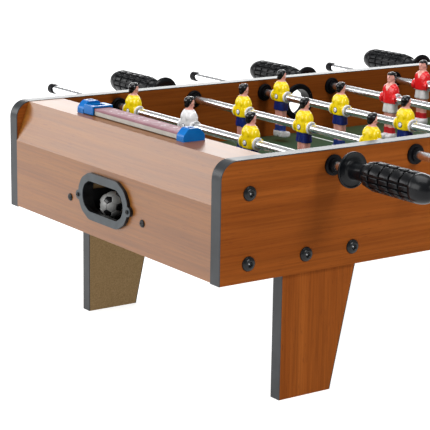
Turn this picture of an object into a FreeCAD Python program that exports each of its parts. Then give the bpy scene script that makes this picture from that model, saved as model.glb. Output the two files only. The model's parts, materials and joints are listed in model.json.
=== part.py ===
import FreeCAD, Part
import os
import re
import Sketcher

# Table-top foosball table. Origin: on the surface it stands on, under its centre.
# +X runs along the pitch, +Y across it (along the rods), +Z up. Millimetres.

Vector = FreeCAD.Vector
doc = FreeCAD.newDocument("foosball_table")
sheet = doc.addObject("Spreadsheet::Sheet", "Sizes")

SIZES = {
    # cabinet
    "table_length": 700, "table_width": 360, "wall_height": 105, "leg_drop": 117,
    "wall_thick": 13, "edging_thick": 0.8, "corner_radius": 16,
    "panel_thick": 9, "panel_gap": 1, "slope_base": 66.8, "slope_run": 14.1, "slope_top": 104.6,
    "ledge_depth": 38, "goal_board_thick": 9,
    "field_height": 42, "field_thick": 3, "groove_depth": 4, "groove_gap": 0.2,
    "goal_width": 78, "goal_height": 42, "cheek_thick": 28, "cheek_low": 14,
    "block_wide": 21, "block_deep": 18,
    # legs and bolts
    "leg_start": 75.2, "leg_top_width": 82.5, "leg_taper": 0.22, "leg_thick": 12, "leg_rise": 36,
    "corner_bolt_in": 29.5, "corner_bolt_low": 16, "corner_bolt_high": 76,
    "leg_bolt_near": 90.5, "leg_bolt_far": 141.6, "leg_bolt_height": 16,
    "bolt_head_dia": 13, "bolt_head_high": 3.2, "bolt_shank_dia": 6, "bolt_gap": 0.25,
    "bolt_key_dia": 5, "bolt_key_depth": 2, "insert_dia": 10, "insert_length": 11,
    # ball cups
    "cup_wide": 84.6, "cup_high": 44, "cup_centre": 38.7, "cup_rim": 3.4, "cup_wall": 1.6,
    "cup_mouth_wide": 70, "cup_mouth_high": 28.7, "cup_floor": 14.5, "cup_corner": 18,
    "mouth_corner": 11, "cup_side_share": 0.25, "cup_bend_share": 0.31,
    "cup_knee_in": 0.31, "cup_knee_up": 0.69,
    "cup_cut_gap": 0.4, "ear_out": 0.3, "ear_dia": 9, "ear_drop": 2,
    "cup_screw_dia": 2.4, "cup_screw_head": 4, "cup_screw_long": 10,
    "panel_screw_out": 62.5, "panel_screw_height": 30, "panel_screw_head": 7, "panel_screw_dia": 3.5,
    "panel_screw_long": 20, "screw_head_high": 1.6,
    # rods
    "rod_pitch": 93, "rod_height": 91, "rod_dia": 8, "rod_wall": 1,
    "rod_reach_cap": 88, "rod_reach_handle": 166, "cap_long": 10, "cap_wall": 1.2,
    "rest_a": 38.5, "rest_b": -21.5, "rest_c": 37.5, "rest_d": -33, "rest_e": 20, "rest_f": -20,
    "bush_flange_dia": 18.4, "bush_flange": 3, "bush_hub_dia": 12.6, "bush_hub": 2,
    "bush_sleeve_dia": 11.6, "running_gap": 0.06, "bush_fit_gap": 0.15,
    "handle_long": 103, "handle_flange_dia": 31.5, "handle_flange": 2.6, "handle_neck_dia": 15,
    "handle_neck": 20, "handle_dia": 25.6, "handle_dome": 18, "handle_end_wall": 16,
    # playing men
    "slide_room": 50.5, "man_head_top": 29.5, "man_head_dia": 10.6, "man_foot_drop": 44.5,
    "man_hub_half": 12, "man_hub_dia": 12.4, "man_shoulder": 25, "man_depth": 11,
    "man_hips": 17, "man_legs": 13, "man_boots": 17, "man_toe": 8.5,
    # ball entry rings
    "serve_height": 77, "serve_flange_dia": 39.5, "serve_flange": 2.4, "serve_hole_dia": 28,
    "serve_mouth_dia": 31, "serve_sleeve_dia": 35, "collar_thick": 2,
    # scorers
    "score_in": 24, "score_wide": 22.5, "score_span": 180,
    "bracket_thick": 11, "bracket_high": 11.5, "bracket_bend": 5,
    "bar_wide": 18, "bar_high": 7, "slider_long": 16, "slider_wall": 1.6, "slider_gap": 0.4,
    "slider_window": 9, "slider_clear": 0.6, "bar_lift": 0.8, "score_screw_dia": 3, "score_screw_head": 6,
    "score_screw_sink": 3, "score_screw_long": 14,
    # ball
    "ball_dia": 25, "ball_rest": 24.5, "ball_in": 22.8, "ball_gap": 0.3,
}
for row, (name, number) in enumerate(SIZES.items(), start=1):
    sheet.set(f"A{row}", name)
    sheet.set(f"B{row}", str(number))
    sheet.setAlias(f"B{row}", name)
doc.recompute()

WORD = re.compile(r"\b(" + "|".join(sorted(SIZES, key=len, reverse=True)) + r")\b")


def cell(text):
    """The expression with each size name pointing at its cell in the sheet."""
    return WORD.sub(r"Sizes.\1", str(text))


def number(text):
    """The present value of an expression."""
    found = sheet.evalExpression(cell(text))
    return float(getattr(found, "Value", found))


def place(thing, at, turn=None):
    """Puts an object at a point given as three expressions, turned by (axis, degrees)."""
    rotation = FreeCAD.Rotation(Vector(*turn[0]), turn[1]) if turn else FreeCAD.Rotation()
    thing.Placement = FreeCAD.Placement(Vector(*[number(value) for value in at]), rotation)
    for axis, value in zip("xyz", at):
        thing.setExpression(f"Placement.Base.{axis}", cell(value))
    return thing


# heights and places that several pieces share, as expressions of the sizes
HALF_LENGTH = "(table_length/2)"
HALF_WIDTH = "(table_width/2)"
INSIDE = "(table_width/2 - wall_thick)"
BASE = "leg_drop"
TOP = "(leg_drop + wall_height)"
FIELD_TOP = "(leg_drop + field_height)"
AXIS = "(leg_drop + rod_height)"
LEDGE_TOP = "(leg_drop + slope_top)"
LEDGE_UNDER = "(leg_drop + slope_top - panel_thick)"
LEDGE_END = "(slope_run + ledge_depth)"
GOAL_BACK = "(slope_run + ledge_depth - goal_board_thick)"
SLOPE_RISE = "(slope_top - slope_base)"
SLOPE_LONG = f"sqrt(slope_run^2 + {SLOPE_RISE}^2)"
ALONG_Y = ((1, 0, 0), -90)
AGAINST_Y = ((1, 0, 0), 90)
ALONG_X = ((0, 1, 0), 90)
AGAINST_X = ((0, 1, 0), -90)


# ---- general builders ------------------------------------------------------------------------

def new_body(label):
    body = doc.addObject("PartDesign::Body", "Body_" + label)
    body.Label = label
    return body


def origin_part(body, role):
    return [part for part in body.Origin.OriginFeatures if part.Role == role][0]


def sketch_on(body, plane):
    sketch = body.newObject("Sketcher::SketchObject", "Sketch")
    sketch.AttachmentSupport = [(origin_part(body, plane), "")]
    sketch.MapMode = "FlatFace"
    return sketch


def bind_point(sketch, edge, end, across, up):
    """Ties one end of an edge to a place given as two expressions."""
    for kind, value in (("DistanceX", across), ("DistanceY", up)):
        index = sketch.addConstraint(Sketcher.Constraint(kind, -1, 1, edge, end, number(value)))
        sketch.renameConstraint(index, f"{kind}{index}")
        sketch.setExpression(f"Constraints.{kind}{index}", cell(value))


def draw_polygon(sketch, corners):
    first = sketch.GeometryCount
    count = len(corners)
    spots = [Vector(number(across), number(up), 0) for across, up in corners]
    for index in range(count):
        sketch.addGeometry(Part.LineSegment(spots[index], spots[(index + 1) % count]), False)
    for index in range(count):
        following = first + (index + 1) % count
        sketch.addConstraint(Sketcher.Constraint("Coincident", first + index, 2, following, 1))
    for index, (across, up) in enumerate(corners):
        bind_point(sketch, first + index, 1, across, up)


def draw_circle(sketch, across, up, radius):
    spot = Vector(number(across), number(up), 0)
    edge = sketch.addGeometry(Part.Circle(spot, Vector(0, 0, 1), number(radius)), False)
    bind_point(sketch, edge, 3, across, up)
    index = sketch.addConstraint(Sketcher.Constraint("Radius", edge, number(radius)))
    sketch.renameConstraint(index, f"Radius{index}")
    sketch.setExpression(f"Constraints.Radius{index}", cell(radius))


def pad_polygon(body, plane, corners, length, backwards=False):
    sketch = sketch_on(body, plane)
    draw_polygon(sketch, corners)
    pad = body.newObject("PartDesign::Pad", "Pad")
    pad.Profile = sketch
    pad.Reversed = backwards
    pad.setExpression("Length", cell(length))
    doc.recompute()
    return pad


def pocket_circles(body, plane, circles, length, backwards):
    """Drills holes given as (across, up, radius); a drill that misses the solid is an error."""
    before = body.Shape.Volume
    sketch = sketch_on(body, plane)
    for circle in circles:
        draw_circle(sketch, *circle)
    pocket = body.newObject("PartDesign::Pocket", "Holes")
    pocket.Profile = sketch
    pocket.Reversed = backwards
    pocket.setExpression("Length", cell(length))
    doc.recompute()
    if body.Shape.Volume > before - 1:
        raise ValueError(f"holes in {body.Label} cut nothing")


def add_box(body, kind, low, size):
    """An additive or subtractive box in a body, from its low corner and three lengths."""
    before = body.Shape.Volume if body.Tip else 0
    box = body.newObject(f"PartDesign::{kind}Box", kind + "Box")
    for side, length in zip(("Length", "Width", "Height"), size):
        box.setExpression(side, cell(length))
    place(box, low)
    doc.recompute()
    if abs(body.Shape.Volume - before) < 0.1:
        raise ValueError(f"a box in {body.Label} changes nothing")
    return box


def turned_body(label, outline):
    """A turned piece: (radius, height) corners spun about Z."""
    body = new_body(label)
    sketch = sketch_on(body, "XZ_Plane")
    draw_polygon(sketch, outline)
    turning = body.newObject("PartDesign::Revolution", "Turning")
    turning.Profile = sketch
    turning.ReferenceAxis = (sketch, ["V_Axis"])
    turning.Angle = 360
    doc.recompute()
    return body


def sink(body, radius, length, at):
    """Bores an upright hole in a body from a low centre point."""
    before = body.Shape.Volume
    drill = body.newObject("PartDesign::SubtractiveCylinder", "Bore")
    drill.setExpression("Radius", cell(radius))
    drill.setExpression("Height", cell(length))
    place(drill, at)
    doc.recompute()
    if body.Shape.Volume > before - 0.1:
        raise ValueError(f"a bore in {body.Label} cuts nothing")


def round_edges(body, wanted, radius):
    """Rounds the edges of a body's last feature that pass a test on their middle point."""
    base = body.Tip
    names = []
    for index, edge in enumerate(base.Shape.Edges, start=1):
        middle = edge.valueAt((edge.FirstParameter + edge.LastParameter) / 2)
        if wanted(edge, middle):
            names.append(f"Edge{index}")
    fillet = body.newObject("PartDesign::Fillet", "Rounding")
    fillet.Base = (base, names)
    fillet.setExpression("Radius", cell(radius))
    doc.recompute()
    return fillet


def solid(kind, label, sizes, at=("0", "0", "0"), turn=None):
    """A Part primitive with its sizes bound to the sheet."""
    thing = doc.addObject("Part::" + kind, label)
    for name, value in sizes.items():
        thing.setExpression(name, cell(value))
    return place(thing, at, turn)


def boolean(kind, label, first, others):
    """A cut, or a fusion or intersection of several shapes."""
    if kind == "Cut":
        tool = others[0]
        if len(others) > 1:
            tool = boolean("MultiFuse", label + "_tools", others[0], others[1:])
        thing = doc.addObject("Part::Cut", label)
        thing.Base = first
        thing.Tool = tool
    else:
        thing = doc.addObject("Part::" + kind, label)
        thing.Shapes = [first] + list(others)
    doc.recompute()
    return thing


def copy_of(source, label, at, turn=None):
    link = doc.addObject("App::Link", label)
    link.LinkedObject = source
    return place(link, at, turn)


def mirrored(source, label, normal):
    mirror = doc.addObject("Part::Mirroring", label)
    mirror.Source = source
    mirror.Normal = Vector(*normal)
    doc.recompute()
    return mirror


def group(label, pieces):
    compound = doc.addObject("Part::Compound", "Group_" + label)
    compound.Links = pieces
    compound.Label = label
    return compound


nodes = {}


def keep(label, thing):
    """Registers a finished sub-part; its label is the name of its node and its file."""
    thing.Label = label
    nodes[label] = thing
    return thing


# ---- side walls and their edging -------------------------------------------------------------

ROD_PLACES = [f"({index - 2.5}*rod_pitch)" for index in range(6)]
ROD_RESTS = ["rest_" + letter for letter in "abcdef"]
BOLT_PLACES = []
for end in (-1, 1):
    for inward, height in (
        ("corner_bolt_in", "corner_bolt_high"),
        ("corner_bolt_in", "corner_bolt_low"),
        ("leg_bolt_near", "leg_bolt_height"),
        ("leg_bolt_far", "leg_bolt_height"),
    ):
        BOLT_PLACES.append((f"({end}*({HALF_LENGTH} - {inward}))", f"(leg_drop + {height})"))


def wall_outline(inset):
    side = f"({HALF_LENGTH} - {inset})"
    return [(f"-{side}", BASE), (side, BASE), (side, f"{TOP} - {inset}"), (f"-{side}", f"{TOP} - {inset}")]


def top_corner(edge, middle):
    upright = abs(middle.y + number("wall_thick/2")) < 0.01
    return upright and middle.z > number(TOP) - 2 and abs(middle.x) > number(HALF_LENGTH) - 2


front_wall = new_body("front_side_wall")
pad_polygon(front_wall, "XZ_Plane", wall_outline("edging_thick"), "wall_thick")
round_edges(front_wall, top_corner, "corner_radius - edging_thick")
bushing_holes = [(at, AXIS, "bush_sleeve_dia/2 + bush_fit_gap") for at in ROD_PLACES]
bolt_holes = [(at, up, "bolt_shank_dia/2 + bolt_gap") for at, up in BOLT_PLACES]
serve_hole = [("0", "leg_drop + serve_height", "serve_sleeve_dia/2 + bush_fit_gap")]
for holes in (bushing_holes, bolt_holes, serve_hole):
    pocket_circles(front_wall, "XZ_Plane", holes, "wall_thick", True)
add_box(
    front_wall, "Subtractive",
    (f"-({HALF_LENGTH} - {LEDGE_END} + groove_depth)", "-groove_depth",
     f"{FIELD_TOP} - field_thick - groove_gap/2"),
    (f"2*({HALF_LENGTH} - {LEDGE_END} + groove_depth)", "groove_depth", "field_thick + groove_gap"))
place(front_wall, ("0", f"-{INSIDE}", "0"))
keep("front_side_wall", front_wall)
keep("back_side_wall", mirrored(front_wall, "Back_wall", (0, 1, 0)))

edging_outer = new_body("edging_outer")
pad_polygon(edging_outer, "XZ_Plane", wall_outline("0"), "wall_thick")
round_edges(edging_outer, top_corner, "corner_radius")
edging_inner = new_body("edging_inner")
pad_polygon(edging_inner, "XZ_Plane", wall_outline("edging_thick"), "wall_thick")
round_edges(edging_inner, top_corner, "corner_radius - edging_thick")
place(edging_outer, ("0", f"-{INSIDE}", "0"))
place(edging_inner, ("0", f"-{INSIDE}", "0"))
front_edging = boolean("Cut", "Front_edging", edging_outer, [edging_inner])
back_edging = mirrored(front_edging, "Back_edging", (0, 1, 0))
keep("wall_edging", group("wall_edging", [front_edging, back_edging]))

# ---- end assembly: panel, slope, ledge and goal board, mitred together -----------------------

# x is measured inward from the end; the two inner mitre corners follow from the board thickness
MITRE_LOW = f"(leg_drop + slope_base + panel_thick*({SLOPE_RISE} - {SLOPE_LONG})/slope_run)"
MITRE_IN = f"((({SLOPE_RISE} - panel_thick)*slope_run + panel_thick*{SLOPE_LONG})/{SLOPE_RISE})"
PANEL_BASE = "(leg_drop + panel_gap)"


def end_x(inward):
    return f"(-{HALF_LENGTH} + ({inward}))"


def end_board(label, corners):
    """A board right across the table between the side walls, from its outline seen from the front."""
    body = new_body(label)
    outline = [(end_x(inward), up) for inward, up in corners]
    pad_polygon(body, "XZ_Plane", outline, f"2*{INSIDE}")
    place(body, ("0", INSIDE, "0"))
    return body


def cup_outline(wide, high, corner):
    """Corners of the cup's shape: flat above and below, each side drawn in by two slants."""
    half, tall, middle = f"({wide})/2", f"({high})/2", "(leg_drop + cup_centre)"
    flat, knee = f"({half} - {corner})", f"({half} - {corner}*cup_knee_in)"
    quarter = [(flat, tall), (knee, f"{tall}*cup_knee_up"), (half, f"{tall}*cup_side_share")]
    right = [(y, f"{middle} - {z}") for y, z in quarter] + [(y, f"{middle} + {z}") for y, z in quarter[::-1]]
    return right + [(f"-{y}", z) for y, z in right[::-1]]


def along_x(edge, middle):
    return abs(edge.tangentAt(edge.FirstParameter).x) > 0.99


def cup_prism(label, wide, high, start, length, corner="cup_corner"):
    """The cup's shape with its corners bent round, carried inward from a place on X."""
    body = new_body(label)
    pad_polygon(body, "YZ_Plane", cup_outline(wide, high, corner), length)
    round_edges(body, along_x, f"({high})*cup_bend_share")
    place(body, (end_x(start), "0", "0"))
    return body


CUP_THROAT_WIDE = "(cup_wide - 2*cup_wall - 2)"
CUP_THROAT_HIGH = "(cup_high - 2*cup_wall)"
SLOPE_FOOT = "(leg_drop + slope_base)"
panel_blank = end_board("panel_blank", [
    ("0", PANEL_BASE), ("panel_thick", PANEL_BASE), ("panel_thick", MITRE_LOW), ("0", SLOPE_FOOT)])
panel_opening = cup_prism(
    "panel_opening", f"{CUP_THROAT_WIDE} + 2*cup_cut_gap", f"{CUP_THROAT_HIGH} + 2*cup_cut_gap",
    "-panel_thick", "3*panel_thick")


def panel_screw_spots():
    return [(f"{side}*panel_screw_out", "leg_drop + panel_screw_height") for side in (-1, 1)]


def cup_screw_spots():
    out = "(cup_wide/2 + ear_out)"
    return [(f"{side}*{out}", "leg_drop + cup_centre - ear_drop") for side in (-1, 1)]


pilot_holes = []
for index, (across, up) in enumerate(panel_screw_spots()):
    pilot_holes.append(solid(
        "Cylinder", f"Panel_hole_{index}",
        {"Radius": "panel_screw_dia/2 + bush_fit_gap", "Height": "panel_thick*2"},
        (end_x("-panel_thick/2"), across, up), ALONG_X))
for index, (across, up) in enumerate(cup_screw_spots()):
    pilot_holes.append(solid(
        "Cylinder", f"Cup_hole_{index}", {"Radius": "cup_screw_dia/2", "Height": "cup_screw_long"},
        (end_x("-cup_rim"), across, up), ALONG_X))
left_panel = keep("left_end_panel", boolean("Cut", "Left_panel", panel_blank, [panel_opening] + pilot_holes))
left_slope = keep("left_end_slope", end_board("left_slope", [
    ("0", SLOPE_FOOT), ("panel_thick", MITRE_LOW), (MITRE_IN, LEDGE_UNDER), ("slope_run", LEDGE_TOP)]))

left_ledge = end_board("left_ledge", [
    ("slope_run", LEDGE_TOP), (MITRE_IN, LEDGE_UNDER), (LEDGE_END, LEDGE_UNDER), (LEDGE_END, LEDGE_TOP)])
SCORE_MIDDLE = end_x("score_in + score_wide/2")
SCORE_SCREW_SPOTS = [f"({side}*(score_span - bracket_thick)/2)" for side in (-1, 1)]
score_holes = [(SCORE_MIDDLE, f"{spot} - {INSIDE}", "score_screw_dia/2") for spot in SCORE_SCREW_SPOTS]
pocket_circles(left_ledge, "XY_Plane", score_holes, LEDGE_TOP, True)
keep("left_end_ledge", left_ledge)

goal_board = end_board("goal_board", [
    (GOAL_BACK, PANEL_BASE), (LEDGE_END, PANEL_BASE), (LEDGE_END, LEDGE_UNDER), (GOAL_BACK, LEDGE_UNDER)])
goal_cut = solid(
    "Box", "Goal_cut", {"Length": "goal_board_thick*3", "Width": "goal_width", "Height": "goal_height"},
    (end_x(f"{GOAL_BACK} - goal_board_thick"), "-goal_width/2", FIELD_TOP))
field_cut = solid(
    "Box", "Field_cut",
    {"Length": "groove_depth", "Width": "table_width", "Height": "field_thick + groove_gap"},
    (end_x(f"{LEDGE_END} - groove_depth"), "-table_width/2", f"{FIELD_TOP} - field_thick - groove_gap/2"))
left_goal = keep("left_goal_board", boolean("Cut", "Left_goal", goal_board, [goal_cut, field_cut]))

for name, thing in (("right_end_panel", left_panel), ("right_end_slope", left_slope),
                    ("right_end_ledge", left_ledge), ("right_goal_board", left_goal)):
    keep(name, mirrored(thing, "Right_" + name, (1, 0, 0)))

# battens on both sides of the ball's way down from the goal to the cup; the panel is screwed to them
cheek_blank = new_body("cheek_blank")
pad_polygon(cheek_blank, "XZ_Plane", [
    (end_x("panel_thick"), "leg_drop + cheek_low"), (end_x(GOAL_BACK), "leg_drop + cheek_low"),
    (end_x(GOAL_BACK), LEDGE_UNDER), (end_x(MITRE_IN), LEDGE_UNDER), (end_x("panel_thick"), MITRE_LOW)],
    "cheek_thick")
CHEEK_OUT = f"({CUP_THROAT_WIDE}/2 + cup_cut_gap)"
place(cheek_blank, ("0", f"-{CHEEK_OUT}", "0"))
cheek_across, cheek_up = panel_screw_spots()[0]
cheek_pilot = solid(
    "Cylinder", "Cheek_pilot", {"Radius": "panel_screw_dia/2", "Height": "panel_screw_long"},
    (end_x("0"), cheek_across, cheek_up), ALONG_X)
cheek = boolean("Cut", "Cheek", cheek_blank, [cheek_pilot])
left_cheeks = [cheek, mirrored(cheek, "Cheek_back", (0, 1, 0))]
right_cheeks = [mirrored(one, f"Cheek_right_{index}", (1, 0, 0)) for index, one in enumerate(left_cheeks)]
keep("goal_cheeks", group("goal_cheeks", left_cheeks + right_cheeks))

# ---- corner blocks, field and legs -----------------------------------------------------------

INSERT_RADIUS = "(insert_dia/2 + bush_fit_gap/3)"


def drilled(label, blank, spots, deep):
    """Cuts the blind holes for threaded inserts and the clearance for the bolts behind them."""
    drills = []
    for index, (across, up) in enumerate(spots):
        drills.append(solid(
            "Cylinder", f"{label}_insert_{index}", {"Radius": INSERT_RADIUS, "Height": "insert_length"},
            (across, f"-{INSIDE}", up), ALONG_Y))
        drills.append(solid(
            "Cylinder", f"{label}_bolt_{index}", {"Radius": "bolt_shank_dia/2 + bolt_gap", "Height": deep},
            (across, f"-{INSIDE}", up), ALONG_Y))
    return boolean("Cut", label, blank, drills)


BLOCK_START = f"({GOAL_BACK} - block_wide)"
block_blank = solid(
    "Box", "Block_blank",
    {"Length": "block_wide", "Width": "block_deep", "Height": "slope_top - panel_thick - panel_gap"},
    (end_x(BLOCK_START), f"-{INSIDE}", PANEL_BASE))
block = drilled("Block", block_blank, BOLT_PLACES[:2], "block_deep - 2")
blocks = [block, mirrored(block, "Block_right", (1, 0, 0))]
blocks += [mirrored(one, f"Block_back_{index}", (0, 1, 0)) for index, one in enumerate(blocks)]
keep("corner_blocks", group("corner_blocks", blocks))

FIELD_REACH = f"({HALF_LENGTH} - {LEDGE_END} + groove_depth - groove_gap)"
FIELD_SPREAD = f"({INSIDE} + groove_depth - groove_gap)"
field = new_body("field_board")
add_box(
    field, "Additive", (f"-{FIELD_REACH}", f"-{FIELD_SPREAD}", f"{FIELD_TOP} - field_thick"),
    (f"2*{FIELD_REACH}", f"2*{FIELD_SPREAD}", "field_thick"))
keep("field_board", field)

LEG_END = "(leg_start + leg_top_width)"


def leg_outline(inset):
    return [
        (end_x(f"leg_start + {inset}"), "0"),
        (end_x(f"{LEG_END} - leg_taper*leg_drop - {inset}"), "0"),
        (end_x(f"{LEG_END} + leg_taper*leg_rise - {inset}"), "leg_drop + leg_rise"),
        (end_x(f"leg_start + {inset}"), "leg_drop + leg_rise"),
    ]


def leg_prism(label, inset):
    body = new_body(label)
    pad_polygon(body, "XZ_Plane", leg_outline(inset), "leg_thick")
    place(body, ("0", f"leg_thick - {INSIDE}", "0"))
    return body


leg = drilled("Leg", leg_prism("leg_blank", "edging_thick"), BOLT_PLACES[2:4], "leg_thick")
leg_strips = boolean("Cut", "Leg_strips", leg_prism("leg_full", "0"), [leg_prism("leg_core", "edging_thick")])
keep("front_left_leg", leg)
keep("front_right_leg", mirrored(leg, "Leg_fr", (1, 0, 0)))
keep("back_left_leg", mirrored(leg, "Leg_bl", (0, 1, 0)))
keep("back_right_leg", mirrored(nodes["back_left_leg"], "Leg_br", (1, 0, 0)))
strips = [leg_strips, mirrored(leg_strips, "Strips_right", (1, 0, 0))]
strips += [mirrored(one, f"Strips_back_{index}", (0, 1, 0)) for index, one in enumerate(strips)]
keep("leg_edging", group("leg_edging", strips))

# ---- bolts and threaded inserts --------------------------------------------------------------

# the bolt stands on Z: its head's seat is at 0, its shank points down
BOLT_LONG = "(wall_thick + insert_length - 1)"
bolt = turned_body("bolt", [
    ("0", f"-{BOLT_LONG}"), ("bolt_shank_dia/2", f"-{BOLT_LONG}"), ("bolt_shank_dia/2", "0"),
    ("bolt_head_dia/2", "0"), ("bolt_head_dia/2", "bolt_head_high*0.4"),
    ("bolt_head_dia*0.36", "bolt_head_high"), ("bolt_key_dia*0.6", "bolt_head_high"),
    ("bolt_key_dia/2", "bolt_head_high - bolt_key_depth"), ("0", "bolt_head_high - bolt_key_depth")])
insert = turned_body("insert", [
    ("bolt_shank_dia/2", "0.2"), ("insert_dia/2", "0.2"), ("insert_dia/2", "insert_length"),
    ("bolt_shank_dia/2", "insert_length")])


def wall_copies(source, name, spots, out):
    """Copies for both walls, on Z turned to point out of each wall."""
    copies = []
    for side, turn in ((-1, AGAINST_Y), (1, ALONG_Y)):
        for index, (across, up) in enumerate(spots):
            copies.append(copy_of(source, f"{name}_{side + 1}_{index}", (across, f"{side}*{out}", up), turn))
    return copies


corner_spots = [spot for index, spot in enumerate(BOLT_PLACES) if index % 4 < 2]
leg_spots = [spot for index, spot in enumerate(BOLT_PLACES) if index % 4 > 1]
keep("corner_bolts", group("corner_bolts", wall_copies(bolt, "Corner_bolt", corner_spots, HALF_WIDTH)))
keep("leg_bolts", group("leg_bolts", wall_copies(bolt, "Leg_bolt", leg_spots, HALF_WIDTH)))
inserts = []
for side, turn in ((-1, ALONG_Y), (1, AGAINST_Y)):
    for index, (across, up) in enumerate(BOLT_PLACES):
        inserts.append(copy_of(insert, f"Insert_{side + 1}_{index}", (across, f"{side}*{INSIDE}", up), turn))
keep("bolt_inserts", group("bolt_inserts", inserts))

# ---- ball cups -------------------------------------------------------------------------------

POCKET_START = "(panel_thick + 0.4)"
POCKET_LONG = f"({GOAL_BACK} - {POCKET_START} - 0.4)"
cup_flange = cup_prism("cup_flange", "cup_wide", "cup_high", "-cup_rim", "cup_rim")
doc.recompute()
ears = [solid(
    "Cylinder", f"Ear_{index}", {"Radius": "ear_dia/2", "Height": "cup_rim"},
    (end_x("-cup_rim"), across, up), ALONG_X) for index, (across, up) in enumerate(cup_screw_spots())]
throat = cup_prism("cup_throat", CUP_THROAT_WIDE, CUP_THROAT_HIGH, "0", "panel_thick + 1")
pocket = solid(
    "Box", "Cup_pocket",
    {"Length": POCKET_LONG, "Width": CUP_THROAT_WIDE, "Height": "field_height - 1 - cup_floor + cup_wall"},
    (end_x(POCKET_START), f"-{CUP_THROAT_WIDE}/2", "leg_drop + cup_floor - cup_wall"))
cup_whole = boolean("MultiFuse", "Cup_whole", cup_flange, ears + [throat, pocket])
mouth = cup_prism(
    "cup_mouth", "cup_mouth_wide", "cup_mouth_high", "-cup_rim*2", "cup_rim*2 + 1", "mouth_corner")
inner_throat = cup_prism(
    "cup_inner", f"{CUP_THROAT_WIDE} - 2*cup_wall", f"{CUP_THROAT_HIGH} - 2*cup_wall", "0.8", "panel_thick*2")
HOLLOW_WIDE = f"({CUP_THROAT_WIDE} - 2*cup_wall)"
hollow = solid(
    "Box", "Cup_hollow",
    {"Length": f"{POCKET_LONG} - 2*cup_wall", "Width": HOLLOW_WIDE, "Height": "wall_height"},
    (end_x(f"{POCKET_START} + cup_wall"), f"-{HOLLOW_WIDE}/2", "leg_drop + cup_floor"))
# above the throat's floor the pocket has no front wall, so the ball rolls against the panel
THROAT_FLOOR = "(leg_drop + cup_centre - cup_high/2 + 2*cup_wall)"
hollow_front = solid(
    "Box", "Cup_front",
    {"Length": "cup_wall*1.5", "Width": HOLLOW_WIDE, "Height": "wall_height"},
    (end_x(POCKET_START), f"-{HOLLOW_WIDE}/2", THROAT_FLOOR))
cup_drills = [solid(
    "Cylinder", f"Cup_drill_{index}", {"Radius": "cup_screw_dia/2", "Height": "cup_rim*3"},
    (end_x("-cup_rim*2"), across, up), ALONG_X) for index, (across, up) in enumerate(cup_screw_spots())]
cup_cuts = [mouth, inner_throat, hollow, hollow_front] + cup_drills
left_cup = keep("left_ball_cup", boolean("Cut", "Left_cup", cup_whole, cup_cuts))
keep("right_ball_cup", mirrored(left_cup, "Right_cup", (1, 0, 0)))


def screw(label, shank, head, long):
    """A pan-head screw on Z: its seat at 0 and its shank pointing down."""
    return turned_body(label, [
        ("0", f"-({long})"), (f"{shank}/2", f"-({long}) + {shank}"), (f"{shank}/2", "0"), (f"{head}/2", "0"),
        (f"{head}/2", "screw_head_high*0.5"), (f"{head}*0.3", "screw_head_high"), ("0", "screw_head_high")])


def end_copies(source, name, spots, out):
    """Copies at both ends, on Z turned to point out of the ends."""
    copies = []
    for side, turn in ((-1, AGAINST_X), (1, ALONG_X)):
        for index, (across, up) in enumerate(spots):
            at = (f"{side}*({HALF_LENGTH} + {out})", across, up)
            copies.append(copy_of(source, f"{name}_{side + 1}_{index}", at, turn))
    return copies


cup_screw = screw("cup_screw", "cup_screw_dia", "cup_screw_head", "cup_screw_long - 1")
panel_screw = screw("panel_screw", "panel_screw_dia", "panel_screw_head", "panel_screw_long")
keep("cup_screws", group("cup_screws", end_copies(cup_screw, "Cup_screw", cup_screw_spots(), "cup_rim")))
keep("panel_screws", group("panel_screws", end_copies(panel_screw, "Panel_screw", panel_screw_spots(), "0")))

# ---- rod bushings and ball entry rings -------------------------------------------------------

BORE = "(rod_dia/2 + running_gap)"
bushing = turned_body("bushing", [
    (BORE, "-wall_thick"), ("bush_sleeve_dia/2", "-wall_thick"), ("bush_sleeve_dia/2", "0"),
    ("bush_flange_dia/2", "0"), ("bush_flange_dia/2", "bush_flange*0.6"),
    ("bush_flange_dia/2 - 1.2", "bush_flange"), ("bush_hub_dia/2", "bush_flange"),
    ("bush_hub_dia/2", "bush_flange + bush_hub"), (BORE, "bush_flange + bush_hub")])
ring = turned_body("ring", [
    (BORE, "0"), ("bush_flange_dia/2", "0"), ("bush_flange_dia/2", "bush_flange*0.6"),
    ("bush_flange_dia/2 - 1.2", "bush_flange"), ("bush_hub_dia/2", "bush_flange"),
    ("bush_hub_dia/2", "bush_flange + bush_hub"), (BORE, "bush_flange + bush_hub")])
rod_spots = [(at, AXIS) for at in ROD_PLACES]
keep("rod_bushings", group("rod_bushings", wall_copies(bushing, "Bushing", rod_spots, HALF_WIDTH)))
rings = []
for side, turn in ((-1, ALONG_Y), (1, AGAINST_Y)):
    for index, (across, up) in enumerate(rod_spots):
        rings.append(copy_of(ring, f"Ring_{side + 1}_{index}", (across, f"{side}*{INSIDE}", up), turn))
keep("bushing_rings", group("bushing_rings", rings))

# the entry ring's flange lies on the inside of the wall, and its funnel opens to the outside
entry = turned_body("entry", [
    ("serve_hole_dia/2", "-serve_flange"), ("serve_flange_dia/2 - 1", "-serve_flange"),
    ("serve_flange_dia/2", "-serve_flange*0.5"), ("serve_flange_dia/2", "0"), ("serve_sleeve_dia/2", "0"),
    ("serve_sleeve_dia/2", "wall_thick"), ("serve_mouth_dia/2", "wall_thick")])
collar = turned_body("collar", [
    ("serve_mouth_dia/2", "0"), ("serve_flange_dia/2", "0"), ("serve_flange_dia/2", "collar_thick*0.5"),
    ("serve_flange_dia/2 - 1", "collar_thick"), ("serve_mouth_dia/2 + 0.6", "collar_thick")])
serve_spot = [("0", "leg_drop + serve_height")]
keep("serve_rings", group("serve_rings", wall_copies(entry, "Entry", serve_spot, INSIDE)))
keep("serve_collars", group("serve_collars", wall_copies(collar, "Collar", serve_spot, HALF_WIDTH)))

# ---- scorers ---------------------------------------------------------------------------------

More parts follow.
